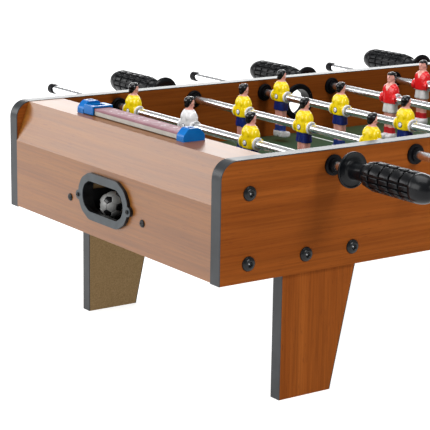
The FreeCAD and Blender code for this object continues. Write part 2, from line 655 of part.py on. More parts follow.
# a bracket is an arched block: a low front with drawn-in shoulders, whose corners are bent round


def shoulder(edge, middle):
    return abs(edge.tangentAt(edge.FirstParameter).y) > 0.99 and middle.z > number("bracket_high*0.3")


bracket_body = new_body("bracket")
HALF_SCORE = "(score_wide/2)"
pad_polygon(bracket_body, "XZ_Plane", [
    (f"-{HALF_SCORE}", "0"), (HALF_SCORE, "0"), (HALF_SCORE, "bracket_high*0.45"),
    (f"{HALF_SCORE}*0.5", "bracket_high"), (f"-{HALF_SCORE}*0.5", "bracket_high"),
    (f"-{HALF_SCORE}", "bracket_high*0.45")], "bracket_thick")
round_edges(bracket_body, shoulder, "bracket_bend")
for radius, length, low in (
    ("score_screw_dia/2 + bush_fit_gap", "bracket_high*2", "-bracket_high/2"),
    ("score_screw_head/2 + bush_fit_gap", "bracket_high", "bracket_high - score_screw_sink"),
):
    sink(bracket_body, radius, length, ("0", "-bracket_thick/2", low))

SCORE_ENDS = [(end, side) for end in (-1, 1) for side in (-1, 1)]
SCORE_IN = f"({HALF_LENGTH} - score_in - score_wide/2)"
SCORE_OUT = "((score_span - bracket_thick)/2)"
BAR_BASE = f"({LEDGE_TOP} + bar_lift)"
BAR_LONG = "(score_span - 2*bracket_thick)"
brackets = [
    copy_of(bracket_body, f"Bracket_{end + 1}_{side + 1}",
            (f"{end}*{SCORE_IN}", f"{side}*{SCORE_OUT} + bracket_thick/2", LEDGE_TOP))
    for end, side in SCORE_ENDS]
keep("score_brackets", group("score_brackets", brackets))
score_screw = screw("score_screw", "score_screw_dia", "score_screw_head", "score_screw_long")
score_screws = [
    copy_of(score_screw, f"Score_screw_{end + 1}_{side + 1}",
            (f"{end}*{SCORE_IN}", f"{side}*{SCORE_OUT}", f"{LEDGE_TOP} + bracket_high - score_screw_sink"))
    for end, side in SCORE_ENDS]
keep("score_screws", group("score_screws", score_screws))

bars = [solid(
    "Box", f"Score_bar_{end + 1}", {"Length": "bar_wide", "Width": BAR_LONG, "Height": "bar_high - bar_lift"},
    (f"{end}*{SCORE_IN} - bar_wide/2", f"-{BAR_LONG}/2", BAR_BASE)) for end in (-1, 1)]
keep("score_bars", group("score_bars", bars))

# the slider is a saddle over the bar, open below, with a window over the numbers
SLIDER_AT = f"({BAR_LONG}/2 - slider_long - slider_clear)"
saddle = solid(
    "Box", "Saddle",
    {"Length": "bar_wide + 2*slider_gap + 2*slider_wall", "Width": "slider_long",
     "Height": "bar_high + slider_gap + slider_wall - bar_lift"},
    (f"-{SCORE_IN} - bar_wide/2 - slider_gap - slider_wall", SLIDER_AT, BAR_BASE))
saddle_cut = solid(
    "Box", "Saddle_cut",
    {"Length": "bar_wide + 2*slider_gap", "Width": "slider_long*3", "Height": "bar_high + slider_gap"},
    (f"-{SCORE_IN} - bar_wide/2 - slider_gap", f"{SLIDER_AT} - slider_long", f"{BAR_BASE} - bar_lift"))
saddle_window = solid(
    "Box", "Saddle_window",
    {"Length": "bar_wide - 4*slider_wall", "Width": "slider_window", "Height": "bar_high*2"},
    (f"-{SCORE_IN} - bar_wide/2 + 2*slider_wall", f"{SLIDER_AT} + (slider_long - slider_window)/2", BAR_BASE))
left_slider = keep("left_score_slider", boolean("Cut", "Left_slider", saddle, [saddle_cut, saddle_window]))
keep("right_score_slider", mirrored(left_slider, "Right_slider", (1, 0, 0)))

# ---- rods with their men, handles and caps ---------------------------------------------------

# a turned piece for a rod stands on Z here and is laid along Y with its tip pointing outwards
HANDLE_BORE = "(handle_long - handle_end_wall)"
handle = turned_body("handle", [
    ("rod_dia/2", "0"), ("handle_flange_dia/2", "0"), ("handle_flange_dia/2", "handle_flange*0.7"),
    ("handle_flange_dia/2 - 1", "handle_flange"), ("handle_neck_dia/2", "handle_flange + 1.5"),
    ("handle_neck_dia/2", "handle_flange + handle_neck*0.6"),
    ("handle_dia*0.4", "handle_flange + handle_neck"), ("handle_dia/2", "handle_flange + handle_neck + 5"),
    ("handle_dia/2", "handle_long - handle_dome"), ("handle_dia*0.46", "handle_long - handle_dome*0.55"),
    ("handle_dia*0.34", "handle_long - handle_dome*0.2"), ("handle_dia*0.16", "handle_long"),
    ("0", "handle_long"), ("0", HANDLE_BORE), ("rod_dia/2", HANDLE_BORE)])
cap = turned_body("cap", [
    ("rod_dia/2", "0"), ("rod_dia/2 + cap_wall - 0.3", "0"), ("rod_dia/2 + cap_wall", "0.8"),
    ("rod_dia/2 + cap_wall", "cap_long - 2.2"), ("rod_dia/2 + cap_wall - 0.8", "cap_long - 0.7"),
    ("rod_dia/2 - 1", "cap_long"), ("0", "cap_long"), ("0", "cap_long - 2"), ("rod_dia/2", "cap_long - 2")])


def man_part(label, plane, outline, half):
    """One silhouette of a man, carried both ways from the middle."""
    body = new_body(label)
    pad = pad_polygon(body, plane, outline, f"2*({half})")
    pad.SideType = "Symmetric"
    doc.recompute()
    return body


def mirrored_outline(side):
    return side + [(f"-({across})", up) for across, up in reversed(side)]


# from the front: boots, legs, shorts, shirt with arms, neck
front_view = man_part("man_front", "YZ_Plane", mirrored_outline([
    ("man_boots/2", "-man_foot_drop"), ("man_boots/2", "-man_foot_drop + 6"),
    ("man_legs/2", "-man_foot_drop + 8.5"),
    ("man_legs/2 + 0.6", "-15"), ("man_hips/2", "-15"), ("man_hips/2", "-4.5"), ("man_shoulder/2", "1"),
    ("man_shoulder/2", "11.5"), ("man_shoulder/2 - 2.5", "16"), ("4", "18"), ("3", "21")]), "man_depth")
# from the side, looking towards +X: heel, toe, legs, shorts, chest, neck
side_view = man_part("man_side", "XZ_Plane", [
    ("-man_depth*0.46", "-man_foot_drop"), ("man_toe", "-man_foot_drop"), ("man_toe", "-man_foot_drop + 3.5"),
    ("3.6", "-man_foot_drop + 8.5"), ("4", "-15"), ("man_depth/2", "-15"), ("man_depth/2", "12"),
    ("3.5", "17.5"),
    ("3", "21"), ("-3", "21"), ("-3.5", "17.5"), ("-man_depth/2", "12"), ("-man_depth/2", "-15"),
    ("-4", "-15"), ("-3.6", "-man_foot_drop + 7")], "man_shoulder")
trunk = boolean("MultiCommon", "Trunk", front_view, [side_view])
head = solid("Sphere", "Head", {"Radius": "man_head_dia/2"}, ("0", "0", "man_head_top - man_head_dia/2"))
hub = solid(
    "Cylinder", "Hub", {"Radius": "man_hub_dia/2", "Height": "2*man_hub_half"},
    ("0", "-man_hub_half", "0"), ALONG_Y)
man_bore = solid(
    "Cylinder", "Man_bore", {"Radius": "rod_dia/2", "Height": "4*man_hub_half"},
    ("0", "-2*man_hub_half", "0"), ALONG_Y)
man = boolean("Cut", "Man", boolean("MultiFuse", "Man_whole", trunk, [head, hub]), [man_bore])

TUBE_END = f"({HALF_WIDTH} + rod_reach_handle - handle_end_wall)"
MAN_SPACING = f"({INSIDE} - bush_flange - bush_hub - man_hub_half - slide_room)"
CAP_INNER = f"({HALF_WIDTH} + rod_reach_cap - 2)"
for index, (at, rest) in enumerate(zip(ROD_PLACES, ROD_RESTS)):
    name = f"rod_{index + 1}"
    side = -1 if index % 2 == 0 else 1
    outward, inward = (AGAINST_Y, ALONG_Y) if side < 0 else (ALONG_Y, AGAINST_Y)
    facing = None if index < 3 else ((0, 0, 1), 180)
    tube_at = (at, f"{rest} + {side}*{TUBE_END}", AXIS)
    tube_long = f"{TUBE_END} + {CAP_INNER}"
    tube = [
        solid("Cylinder", f"Tube_{index}_{part}", {"Radius": radius, "Height": tube_long}, tube_at, inward)
        for part, radius in enumerate(("rod_dia/2", "rod_dia/2 - rod_wall"))]
    keep(name + "_tube", boolean("Cut", f"Tube_{index}", tube[0], tube[1:]))
    men = [
        copy_of(man, f"Man_{index}_{spot}", (at, f"{rest} + {spot - 1}*{MAN_SPACING}", AXIS), facing)
        for spot in range(3)]
    keep(name + "_men", group(name + "_men", men))
    handle_at = (at, f"{rest} + {side}*({HALF_WIDTH} + rod_reach_handle - handle_long)", AXIS)
    handle_copy = copy_of(handle, f"Handle_{index}", handle_at, outward)
    keep(name + "_handle", group(name + "_handle", [handle_copy]))
    cap_at = (at, f"{rest} - {side}*({HALF_WIDTH} + rod_reach_cap - cap_long)", AXIS)
    keep(name + "_cap", group(name + "_cap", [copy_of(cap, f"Cap_{index}", cap_at, inward)]))

# ---- ball ------------------------------------------------------------------------------------

ball_spot = (end_x("ball_in"), "ball_rest", "leg_drop + cup_floor + ball_gap + ball_dia/2")
keep("game_ball", solid("Sphere", "Ball", {"Radius": "ball_dia/2"}, ball_spot))

# ---- checks and files ------------------------------------------------------------------------

doc.recompute()
for thing in doc.Objects:
    if "Invalid" in thing.State or "Error" in thing.State:
        raise ValueError(f"{thing.Name} failed: {thing.State}")
os.makedirs("parts", exist_ok=True)
for label, thing in nodes.items():
    shape = thing.Shape
    if shape.isNull() or not shape.isValid() or not shape.Solids:
        raise ValueError(f"{label} has no valid shape")
    shape.exportStep(os.path.join("parts", label + ".step"))
    box = shape.BoundBox
    low, high = [f"({spot[0]:.1f}, {spot[1]:.1f}, {spot[2]:.1f})" for spot in (
        (box.XMin, box.YMin, box.ZMin), (box.XMax, box.YMax, box.ZMax))]
    print(f"{label}: {len(shape.Solids)} solids, {shape.Volume/1000:.1f} cm3, from {low} to {high}")
print(len(nodes), "nodes")
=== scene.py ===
# %% [markdown]
# # A table-top foosball table
# The cabinet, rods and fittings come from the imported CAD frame, at their real size in metres. This script
# gives every surface its finish, and makes the pieces that a moulder or a printer shapes: the painted men,
# the ribbed grips, the ball, the printed pitch and the numbers of the scorers. We begin with the frame,
# because every place used below is read from it.

# %% Load the frame
import bmesh
import bpy
import json
import math
import numpy as np
from mathutils import Matrix, Vector

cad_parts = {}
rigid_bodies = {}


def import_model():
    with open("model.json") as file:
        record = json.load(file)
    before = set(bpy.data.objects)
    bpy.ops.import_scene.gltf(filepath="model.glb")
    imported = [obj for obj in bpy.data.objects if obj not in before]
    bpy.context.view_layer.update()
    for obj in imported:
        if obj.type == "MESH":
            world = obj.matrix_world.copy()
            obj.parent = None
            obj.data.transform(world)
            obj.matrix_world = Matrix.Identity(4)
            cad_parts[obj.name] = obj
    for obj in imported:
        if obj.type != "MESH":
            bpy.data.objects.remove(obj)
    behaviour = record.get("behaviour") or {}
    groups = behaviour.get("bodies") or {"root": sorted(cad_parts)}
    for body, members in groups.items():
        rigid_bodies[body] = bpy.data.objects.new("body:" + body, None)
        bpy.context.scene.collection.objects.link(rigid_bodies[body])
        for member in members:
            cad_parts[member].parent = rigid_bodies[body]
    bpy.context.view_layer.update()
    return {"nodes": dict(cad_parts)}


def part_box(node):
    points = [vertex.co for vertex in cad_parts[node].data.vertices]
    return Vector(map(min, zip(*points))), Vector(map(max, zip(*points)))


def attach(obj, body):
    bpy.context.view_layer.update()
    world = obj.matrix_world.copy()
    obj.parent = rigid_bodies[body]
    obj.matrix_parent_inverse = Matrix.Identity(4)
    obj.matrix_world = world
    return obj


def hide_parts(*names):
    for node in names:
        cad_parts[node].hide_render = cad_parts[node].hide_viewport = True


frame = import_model()
MM = 0.001
nodes = frame["nodes"]


def stand(name, data):
    """A new object in the scene."""
    thing = bpy.data.objects.new(name, data)
    bpy.context.scene.collection.objects.link(thing)
    return thing


def box_of(node):
    """The low and high corner of a CAD node."""
    return [np.array(corner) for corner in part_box(node)]


# %% [markdown]
# ## Camera, floor and light
# A catalogue picture of such a table is taken from one corner, a little above the rail, with a long lens, so
# the cabinet's edges stay nearly parallel. The camera is given by where it stands and by three turns: how far
# it looks round from the pitch's crosswise axis, how far down, and a slight tilt. The floor is white and lit.
# The light comes from soft boxes: a large one beyond the near end, one overhead, one far behind that shines
# along the ledge and the rails, one off the far corner that shines on the slope, and a small one in front of
# the long side, which throws the soft shadow of the near grip.

# %% Camera
CAMERA_PLACE = (-1.1067, -1.2426, 0.4862)
LOOK_ROUND, LOOK_DOWN, TILT = math.radians(35.27), math.radians(13.275), math.radians(0.877)
lens = bpy.data.cameras.new("catalogue_lens")
lens.lens = 137.4
lens.clip_start = 0.05
camera = stand("catalogue_camera", lens)
turn = (Matrix.Rotation(-LOOK_ROUND, 4, "Z") @ Matrix.Rotation(math.pi / 2 - LOOK_DOWN, 4, "X")
        @ Matrix.Rotation(TILT, 4, "Z"))
camera.matrix_world = Matrix.Translation(CAMERA_PLACE) @ turn
bpy.context.scene.camera = camera
bpy.context.scene.view_settings.view_transform = "Standard"

# %% Floor, backdrop and soft boxes
world = bpy.data.worlds.new("studio")
world.use_nodes = True
backdrop = world.node_tree.nodes["Background"].inputs
backdrop["Color"].default_value = (1.0, 1.0, 1.0, 1.0)
backdrop["Strength"].default_value = 0.36
bpy.context.scene.world = world


def soft_box(name, place, aim, size, watts):
    lamp = bpy.data.lights.new(name, "AREA")
    lamp.shape = "RECTANGLE"
    lamp.size, lamp.size_y = size
    lamp.energy = watts
    holder = stand(name, lamp)
    holder.location = place
    holder.rotation_euler = (Vector(aim) - Vector(place)).to_track_quat("-Z", "Y").to_euler()


soft_box("end_box", (-2.6, 0.5, 1.1), (-0.3, 0.0, 0.15), (1.6, 1.4), 36)
soft_box("top_box", (-0.2, 0.3, 2.2), (0.0, 0.0, 0.2), (2.0, 1.6), 40)
soft_box("side_box", (0.1, -2.35, 1.3), (0.0, 0.0, 0.15), (0.5, 0.4), 26)
soft_box("back_box", (2.2, 3.1, 0.75), (0.0, 0.0, 0.15), (3.0, 1.5), 50)
soft_box("corner_box", (-1.85, 2.1, 0.9), (-0.3, 0.0, 0.15), (1.4, 0.9), 17)


# %% [markdown]
# ## Helpers for finishes
# Every finish is a small tree of shader nodes on Object coordinates, which are the frame's own metres. The
# helper class keeps the tree and adds nodes in one line each: a value given for a socket is written into it,
# and another node's output is linked to it. The Geometry Nodes trees further on are built the same way.

# %% A tree, and a finish under construction
class NodeTree:
    tree = None

    def add(self, kind, inputs=None, **settings):
        node = self.tree.nodes.new(kind)
        for name, value in settings.items():
            setattr(node, name, value)
        for socket, value in (inputs or {}).items():
            if isinstance(value, bpy.types.NodeSocket):
                self.tree.links.new(value, node.inputs[socket])
            else:
                node.inputs[socket].default_value = value
        return node

    def math(self, operation, *values):
        return self.add("ShaderNodeMath", dict(enumerate(values)), operation=operation).outputs[0]

    def between(self, value, low, high, start=0.0, end=1.0, **settings):
        """A value's place between two limits, given out between two others."""
        return self.add("ShaderNodeMapRange", {
            "Value": value, "From Min": low, "From Max": high, "To Min": start, "To Max": end},
            **settings).outputs["Result"]


class Finish(NodeTree):
    def __init__(self, name, roughness=0.5, metallic=0.0, color=None, sheen=0.5):
        self.material = bpy.data.materials.new(name)
        self.material.use_nodes = True
        self.tree = self.material.node_tree
        self.shader = self.tree.nodes["Principled BSDF"]
        self.shader.inputs["Roughness"].default_value = roughness
        self.shader.inputs["Metallic"].default_value = metallic
        self.shader.inputs["Specular IOR Level"].default_value = sheen
        if color:
            self.shader.inputs["Base Color"].default_value = (*color, 1.0)

    def place(self, scale=(1, 1, 1), attribute=None):
        """Object coordinates, or a stored attribute, stretched by three factors."""
        if attribute:
            source = self.add("ShaderNodeAttribute", attribute_name=attribute).outputs["Vector"]
        else:
            source = self.add("ShaderNodeTexCoord").outputs["Object"]
        return self.add("ShaderNodeMapping", {"Vector": source, "Scale": scale}).outputs["Vector"]

    def noise(self, scale, at, detail=3.0, rough=0.5, distortion=0.0):
        return self.add("ShaderNodeTexNoise", {
            "Vector": at, "Scale": scale, "Detail": detail, "Roughness": rough,
            "Distortion": distortion}).outputs["Fac"]

    def ramp(self, factor, *stops):
        """A colour ramp; each stop is (position, (r, g, b))."""
        node = self.add("ShaderNodeValToRGB", {"Fac": factor})
        elements = node.color_ramp.elements
        while len(elements) < len(stops):
            elements.new(0.5)
        for element, (position, color) in zip(elements, stops):
            element.position = position
            element.color = (*color, 1.0)
        return node.outputs["Color"]

    def shades(self, factor, dark, light, low=0.3, high=0.7):
        """A ramp between two greys."""
        return self.ramp(factor, (low, (dark,) * 3), (high, (light,) * 3))

    def blend(self, factor, first, second, mode="MIX"):
        first, second = [value if isinstance(value, bpy.types.NodeSocket) else (*value, 1.0)
                         for value in (first, second)]
        return self.add("ShaderNodeMix", {0: factor, 6: first, 7: second}, data_type="RGBA",
                        blend_type=mode).outputs[2]

    def worn(self):
        """1 where a fastener is painted bright: a painted highlight at the bottom of a bolt's socket, and the
        silver head of a man's screw.
        """
        return self.add("ShaderNodeAttribute", attribute_name="worn").outputs["Fac"]

    def axis(self, vector, letter):
        """One coordinate of a vector, named by its letter."""
        return self.add("ShaderNodeSeparateXYZ", {"Vector": vector}).outputs[letter]

    def color(self, socket):
        self.tree.links.new(socket, self.shader.inputs["Base Color"])

    def tone(self):
        """What feeds the base colour now."""
        return self.shader.inputs["Base Color"].links[0].from_socket

    def rough(self, factor, low, high):
        """Roughness that follows a pattern between two values."""
        self.tree.links.new(self.between(factor, 0.0, 1.0, low, high), self.shader.inputs["Roughness"])

    def bump(self, height, strength, distance=0.0005):
        node = self.add("ShaderNodeBump", {"Height": height, "Strength": strength, "Distance": distance})
        self.tree.links.new(node.outputs["Normal"], self.shader.inputs["Normal"])


def coat(names, finish):
    """Gives CAD nodes a finish."""
    for name in names:
        mesh = nodes[name].data
        if not mesh.materials:
            mesh.materials.append(finish.material)
        for slot in nodes[name].material_slots:
            slot.material = finish.material
    print(finish.material.name, "on", len(names), "pieces")


# %% [markdown]
# ## Wood-grain laminate
# The boards are fibreboard under a printed foil. The print has three scales: broad soft clouds of a darker
# and a lighter brown, long fine fibres, and short dark pores. Each is a noise stretched along the board, so
# one function with the grain's direction makes the side walls, the end boards and the legs. The end boards'
# foil is the glossier one, and its tones are made lighter and yellower: painted light, for the glare that
# falls on those boards.

# %% Laminate
FOIL_DARK = (0.185, 0.046, 0.006)
FOIL_MID = (0.218, 0.057, 0.008)
FOIL_LIGHT = (0.255, 0.071, 0.011)
PORE = (0.100, 0.024, 0.006)


def grain_scale(along, long_way, across):
    """Stretch factors for a pattern that is long on one axis (0, 1 or 2) and fine on the others."""
    scale = [across, across, across]
    scale[along] = long_way
    return scale


def laminate(name, along, painted_light_tint=(1.0, 1.0, 1.0), low_rough=0.50, high_rough=0.62, sheen=0.03):
    finish = Finish(name, sheen=sheen)
    clouds = finish.noise(1.0, finish.place(grain_scale(along, 2.4, 75.0)), detail=3.0, distortion=0.1)
    fibres = finish.noise(1.0, finish.place(grain_scale(along, 11.0, 520.0)), detail=4.0, rough=0.6)
    pores = finish.noise(1.0, finish.place(grain_scale(along, 75.0, 1300.0)), detail=1.0)
    tones = [tuple(np.array(tone) * painted_light_tint) for tone in (FOIL_DARK, FOIL_MID, FOIL_LIGHT)]
    ground = finish.ramp(clouds, (0.30, tones[0]), (0.52, tones[1]), (0.75, tones[2]))
    fibre_tone = finish.ramp(fibres, (0.36, (0.74, 0.72, 0.70)), (0.62, (1.08, 1.06, 1.05)))
    grained = finish.blend(0.75, ground, fibre_tone, "MULTIPLY")
    pore_mask = finish.shades(pores, 0.0, 0.55, 0.66, 0.72)
    finish.color(finish.blend(pore_mask, grained, PORE))
    finish.rough(fibres, low_rough, high_rough)
    finish.bump(fibres, 0.10, 0.0002)
    return finish


ALONG, ACROSS, UPRIGHT = 0, 1, 2
wall_laminate = laminate("wall_laminate", ALONG)
# the end boards' tones are lifted lighter and yellower: painted light, for the glare on those boards
end_laminate = laminate("end_laminate", ACROSS, (0.93, 1.24, 1.05), 0.28, 0.38, 0.72)
coat(["front_side_wall", "back_side_wall"], wall_laminate)
coat([f"{end}_{board}" for end in ("left", "right")
      for board in ("end_panel", "end_slope", "end_ledge", "goal_board")], end_laminate)

# %% [markdown]
# ## Raw board and the legs
# Fibreboard without its foil is a flat brown with a felted speckle. It shows on the hidden blocks and on the
# inner face of each leg, so the leg's finish changes from foil to raw board at its inner face, which the
# frame gives as a distance from the table's middle.

# %% Raw board
RAW_DARK = (0.225, 0.142, 0.064)
RAW_LIGHT = (0.345, 0.228, 0.112)


def raw_board_color(finish):
    felt = finish.noise(900.0, finish.place(), detail=4.0, rough=0.7)
    return finish.ramp(felt, (0.35, RAW_DARK), (0.70, RAW_LIGHT)), felt


raw_board = Finish("raw_board", roughness=0.85, sheen=0.1)
raw_color, raw_felt = raw_board_color(raw_board)
raw_board.color(raw_color)
raw_board.bump(raw_felt, 0.35, 0.0003)
coat(["goal_cheeks", "corner_blocks"], raw_board)

# %% Legs
LEG_INNER_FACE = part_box("back_left_leg")[0][1] + 0.2 * MM
leg_finish = laminate("leg_laminate", UPRIGHT)
leg_foil = leg_finish.tone()
raw_tone, _ = raw_board_color(leg_finish)
from_middle = leg_finish.math("ABSOLUTE", leg_finish.axis(leg_finish.place(), "Y"))
is_raw = leg_finish.math("LESS_THAN", from_middle, LEG_INNER_FACE)
leg_finish.color(leg_finish.blend(is_raw, leg_foil, raw_tone))
LEGS = [f"{way}_{end}_leg" for way in ("front", "back") for end in ("left", "right")]
coat(LEGS, leg_finish)

# %% [markdown]
# ## Edge band
# The grey band is extruded plastic ironed on with hot glue: nearly smooth, a little streaked along its run,
# and satin. The same finish serves the walls and the legs.

# %% Edge band
edge_band = Finish("grey_edge_band", roughness=0.32, sheen=0.25)
streak = edge_band.noise(1.0, edge_band.place((40, 900, 40)), detail=3.0)
mottle = edge_band.noise(55.0, edge_band.place(), detail=2.0)
band_tone = edge_band.ramp(mottle, (0.3, (0.022, 0.024, 0.026)), (0.7, (0.031, 0.034, 0.037)))
edge_band.color(edge_band.blend(0.4, band_tone, edge_band.shades(streak, 0.8, 1.1), "MULTIPLY"))
edge_band.bump(streak, 0.08, 0.0002)
coat(["wall_edging", "leg_edging"], edge_band)

# %% [markdown]
# ## The pitch
# The playing field is thin hardboard printed dark green with white lines. The board's finish has the fine
# grain of a screen print. The lines are laid on as their own very thin printed piece, because a line as
# geometry stays sharp at any distance. A ribbon function draws each line from its centre line; the height
# comes from the field board's box, and the ends and sides from the boxes of the goal board and the side wall.

# %% Green print
pitch_green = Finish("pitch_green", roughness=0.42)
speck = pitch_green.noise(700.0, pitch_green.place(), detail=3.0, rough=0.7)
patch = pitch_green.noise(14.0, pitch_green.place(), detail=2.0)
pitch_green.color(pitch_green.blend(
    0.6, pitch_green.ramp(patch, (0.3, (0.020, 0.058, 0.027)), (0.7, (0.030, 0.080, 0.038))),
    pitch_green.shades(speck, 0.72, 1.25), "MULTIPLY"))
pitch_green.bump(speck, 0.15, 0.0002)
coat(["field_board"], pitch_green)


# %% Meshes from numbers
def mesh_object(name, points, faces, finishes, smooth=True, face_finish=None):
    """A piece at the origin from its points in metres, its faces and one or more finishes."""
    mesh = bpy.data.meshes.new(name)
    mesh.from_pydata([tuple(point) for point in points], [], faces)
    for finish in finishes:
        mesh.materials.append(finish.material)
    if face_finish is not None:
        mesh.polygons.foreach_set("material_index", face_finish)
    mesh.polygons.foreach_set("use_smooth", [smooth] * len(mesh.polygons))
    mesh.update()
    return stand(name, mesh)


def fitted(piece, body, replaced=()):
    """Rides a finished piece on its body, and says what it stands for."""
    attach(piece, body)
    if replaced:
        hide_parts(*replaced)
    print(piece.name, "on", body, "with", len(piece.data.polygons), "faces")


# %% White lines
FIELD_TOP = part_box("field_board")[1][2]
FIELD_END = abs(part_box("left_goal_board")[1][0])
FIELD_SIDE = abs(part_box("front_side_wall")[1][1])
LINE_WIDE = 2.6 * MM
PRINT_THICK = 0.06 * MM
CIRCLE_RADIUS, SPOT_RADIUS, PENALTY_ARC = 48 * MM, 4 * MM, 34 * MM
PENALTY_AREA, GOAL_AREA = (92 * MM, 105 * MM), (45 * MM, 66 * MM)


def ribbon(centre_line, closed=False):
    """A flat printed line along points given as (x, y)."""
    path = np.array(centre_line, dtype=float)
    ahead = np.roll(path, -1, axis=0) - path
    behind = path - np.roll(path, 1, axis=0)
    if not closed:
        ahead[-1], behind[0] = behind[-1], ahead[0]
    way = ahead / np.linalg.norm(ahead, axis=1)[:, None] + behind / np.linalg.norm(behind, axis=1)[:, None]
    way /= np.linalg.norm(way, axis=1)[:, None]
    side = np.stack([-way[:, 1], way[:, 0]], axis=1) * LINE_WIDE / 2
    count = len(path)
    points, faces = [], []
    for offset, height in ((side, 1), (-side, 1), (-side, 0.2), (side, 0.2)):
        for spot in path + offset:
            points.append((spot[0], spot[1], FIELD_TOP + height * PRINT_THICK))
    for index in range(count if closed else count - 1):
        following = (index + 1) % count
        for loop in range(4):
            lower = (loop + 1) % 4
            faces.append((loop * count + index, lower * count + index,
                          lower * count + following, loop * count + following))
    return points, faces


def arc(middle, radius, start, end, steps=48):
    angles = np.linspace(math.radians(start), math.radians(end), steps)
    return [(middle + radius * math.cos(angle), radius * math.sin(angle)) for angle in angles]


def pitch_lines():
    lines = [([(0, -FIELD_SIDE), (0, FIELD_SIDE)], False)]
    lines.append((arc(0, CIRCLE_RADIUS, 0, 352.5), True))
    lines.append((arc(0, SPOT_RADIUS, 0, 330, 12), True))
    for end in (-1, 1):
        for depth, half in (PENALTY_AREA, GOAL_AREA):
            front = end * (FIELD_END - depth)
            back = end * FIELD_END
            lines.append(([(back, -half), (front, -half), (front, half), (back, half)], False))
        middle = end * (FIELD_END - PENALTY_AREA[0])
        towards = 180 if end > 0 else 0
        lines.append((arc(middle, PENALTY_ARC, towards - 90, towards + 90, 30), False))
    return lines


points, faces = [], []
for line, closed in pitch_lines():
    line_points, line_faces = ribbon(line, closed)
    faces += [tuple(index + len(points) for index in face) for face in line_faces]
    points += line_points
line_print = Finish("white_print", roughness=0.45)
worn = line_print.noise(420.0, line_print.place(), detail=3.0)
line_print.color(line_print.ramp(worn, (0.3, (0.55, 0.60, 0.56)), (0.6, (0.80, 0.83, 0.80))))
lines = mesh_object("pitch_lines", points, faces, [line_print], smooth=False)
fitted(lines, "root")

# %% [markdown]
# ## Chrome and plastics
# The rods are chromed tube: bright, and a little softened by the drawing marks round it. The bushings, rings
# and caps are black nylon, which is satin with a faint moulding texture. The cup is a grey plastic, painted
# near black behind the front face of its rim as painted shade in its mouth and on the rim's sides, and the
# scorer's ends are a bright blue plastic.

# %% Chrome
chrome = Finish("rod_chrome", metallic=1.0)
drawn = chrome.noise(1.0, chrome.place((30, 900, 30)), detail=2.0)
chrome.color(chrome.ramp(drawn, (0.3, (0.84, 0.85, 0.87)), (0.7, (0.92, 0.93, 0.95))))
chrome.rough(drawn, 0.20, 0.30)
RODS = [f"rod_{number}" for number in range(1, 7)]
coat([rod + "_tube" for rod in RODS], chrome)


# %% Moulded plastics
def moulded(name, dark, light, roughness, texture=1500.0, depth=0.10, metallic=0.0, sheen=0.15):
    """A moulded or coated surface: one tone with slight mottling and a fine surface texture."""
    finish = Finish(name, roughness=roughness, metallic=metallic, sheen=sheen)
    fine = finish.noise(texture, finish.place(), detail=2.0)
    mottled = finish.noise(90.0, finish.place(), detail=3.0)
    finish.color(finish.ramp(mottled, (0.3, dark), (0.7, light)))
    finish.rough(fine, roughness * 0.88, roughness * 1.12)
    finish.bump(fine, depth, 0.0001)
    return finish


black_nylon = moulded("black_nylon", (0.002, 0.002, 0.003), (0.005, 0.005, 0.006), 0.34, sheen=0.08)
grip_black = moulded("grip_black", (0.002, 0.002, 0.003), (0.005, 0.006, 0.007), 0.26, depth=0.10, sheen=0.18)
cup_grey = moulded("cup_grey", (0.028, 0.034, 0.038), (0.044, 0.053, 0.060), 0.36, sheen=0.3)
# behind the rim's front face the cup is painted near black: painted shade in its mouth and on the rim's sides
CUP_RIM_DEEP = 0.6 * MM
CUP_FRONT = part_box("right_ball_cup")[1][0] - CUP_RIM_DEEP
cup_depth = cup_grey.math("ABSOLUTE", cup_grey.axis(cup_grey.place(), "X"))
cup_painted_shade = cup_grey.math("LESS_THAN", cup_depth, CUP_FRONT)
cup_grey.color(cup_grey.blend(cup_painted_shade, cup_grey.tone(), (0.004, 0.004, 0.005)))
blue_plastic = moulded("blue_plastic", (0.001, 0.105, 0.370), (0.002, 0.135, 0.430), 0.24, sheen=0.18)
insert_brass = moulded("insert_brass", (0.42, 0.28, 0.10), (0.55, 0.38, 0.15), 0.35, metallic=1.0)
for finish, names in (
        (black_nylon, ["rod_bushings", "bushing_rings", "serve_rings", "serve_collars"]),
        (black_nylon, [rod + "_cap" for rod in RODS]), (cup_grey, ["left_ball_cup", "right_ball_cup"]),
        (blue_plastic, ["score_brackets", "left_score_slider", "right_score_slider"]),
        (insert_brass, ["bolt_inserts"])):
    coat(names, finish)

# %% [markdown]
# ## Two tools for the small pieces
# Screws, men and grips stand in places that the CAD frame already holds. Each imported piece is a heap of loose
# triangles, so a copy is welded, and every solid in it gives one box. The second tool spins an outline round
# an axis, which is how a lathe makes screws, bolts and grips.

# %% Boxes of the single solids, and a lathe
def solids_of(node):
    """The low and high corner of every separate solid of a CAD node."""
    work = bmesh.new()
    work.from_mesh(nodes[node].data)
    bmesh.ops.remove_doubles(work, verts=work.verts, dist=0.005 * MM)
    boxes, seen = [], set()
    for start in work.verts:
        if start in seen or not start.link_faces:
            continue
        edge_of_search, members = [start], []
        seen.add(start)
        while edge_of_search:
            vertex = edge_of_search.pop()
            members.append(vertex.co.copy())
            for edge in vertex.link_edges:
                other = edge.other_vert(vertex)
                if other not in seen:
                    seen.add(other)
                    edge_of_search.append(other)
        spots = np.array(members)
        boxes.append((spots.min(axis=0), spots.max(axis=0)))
    work.free()
    return boxes


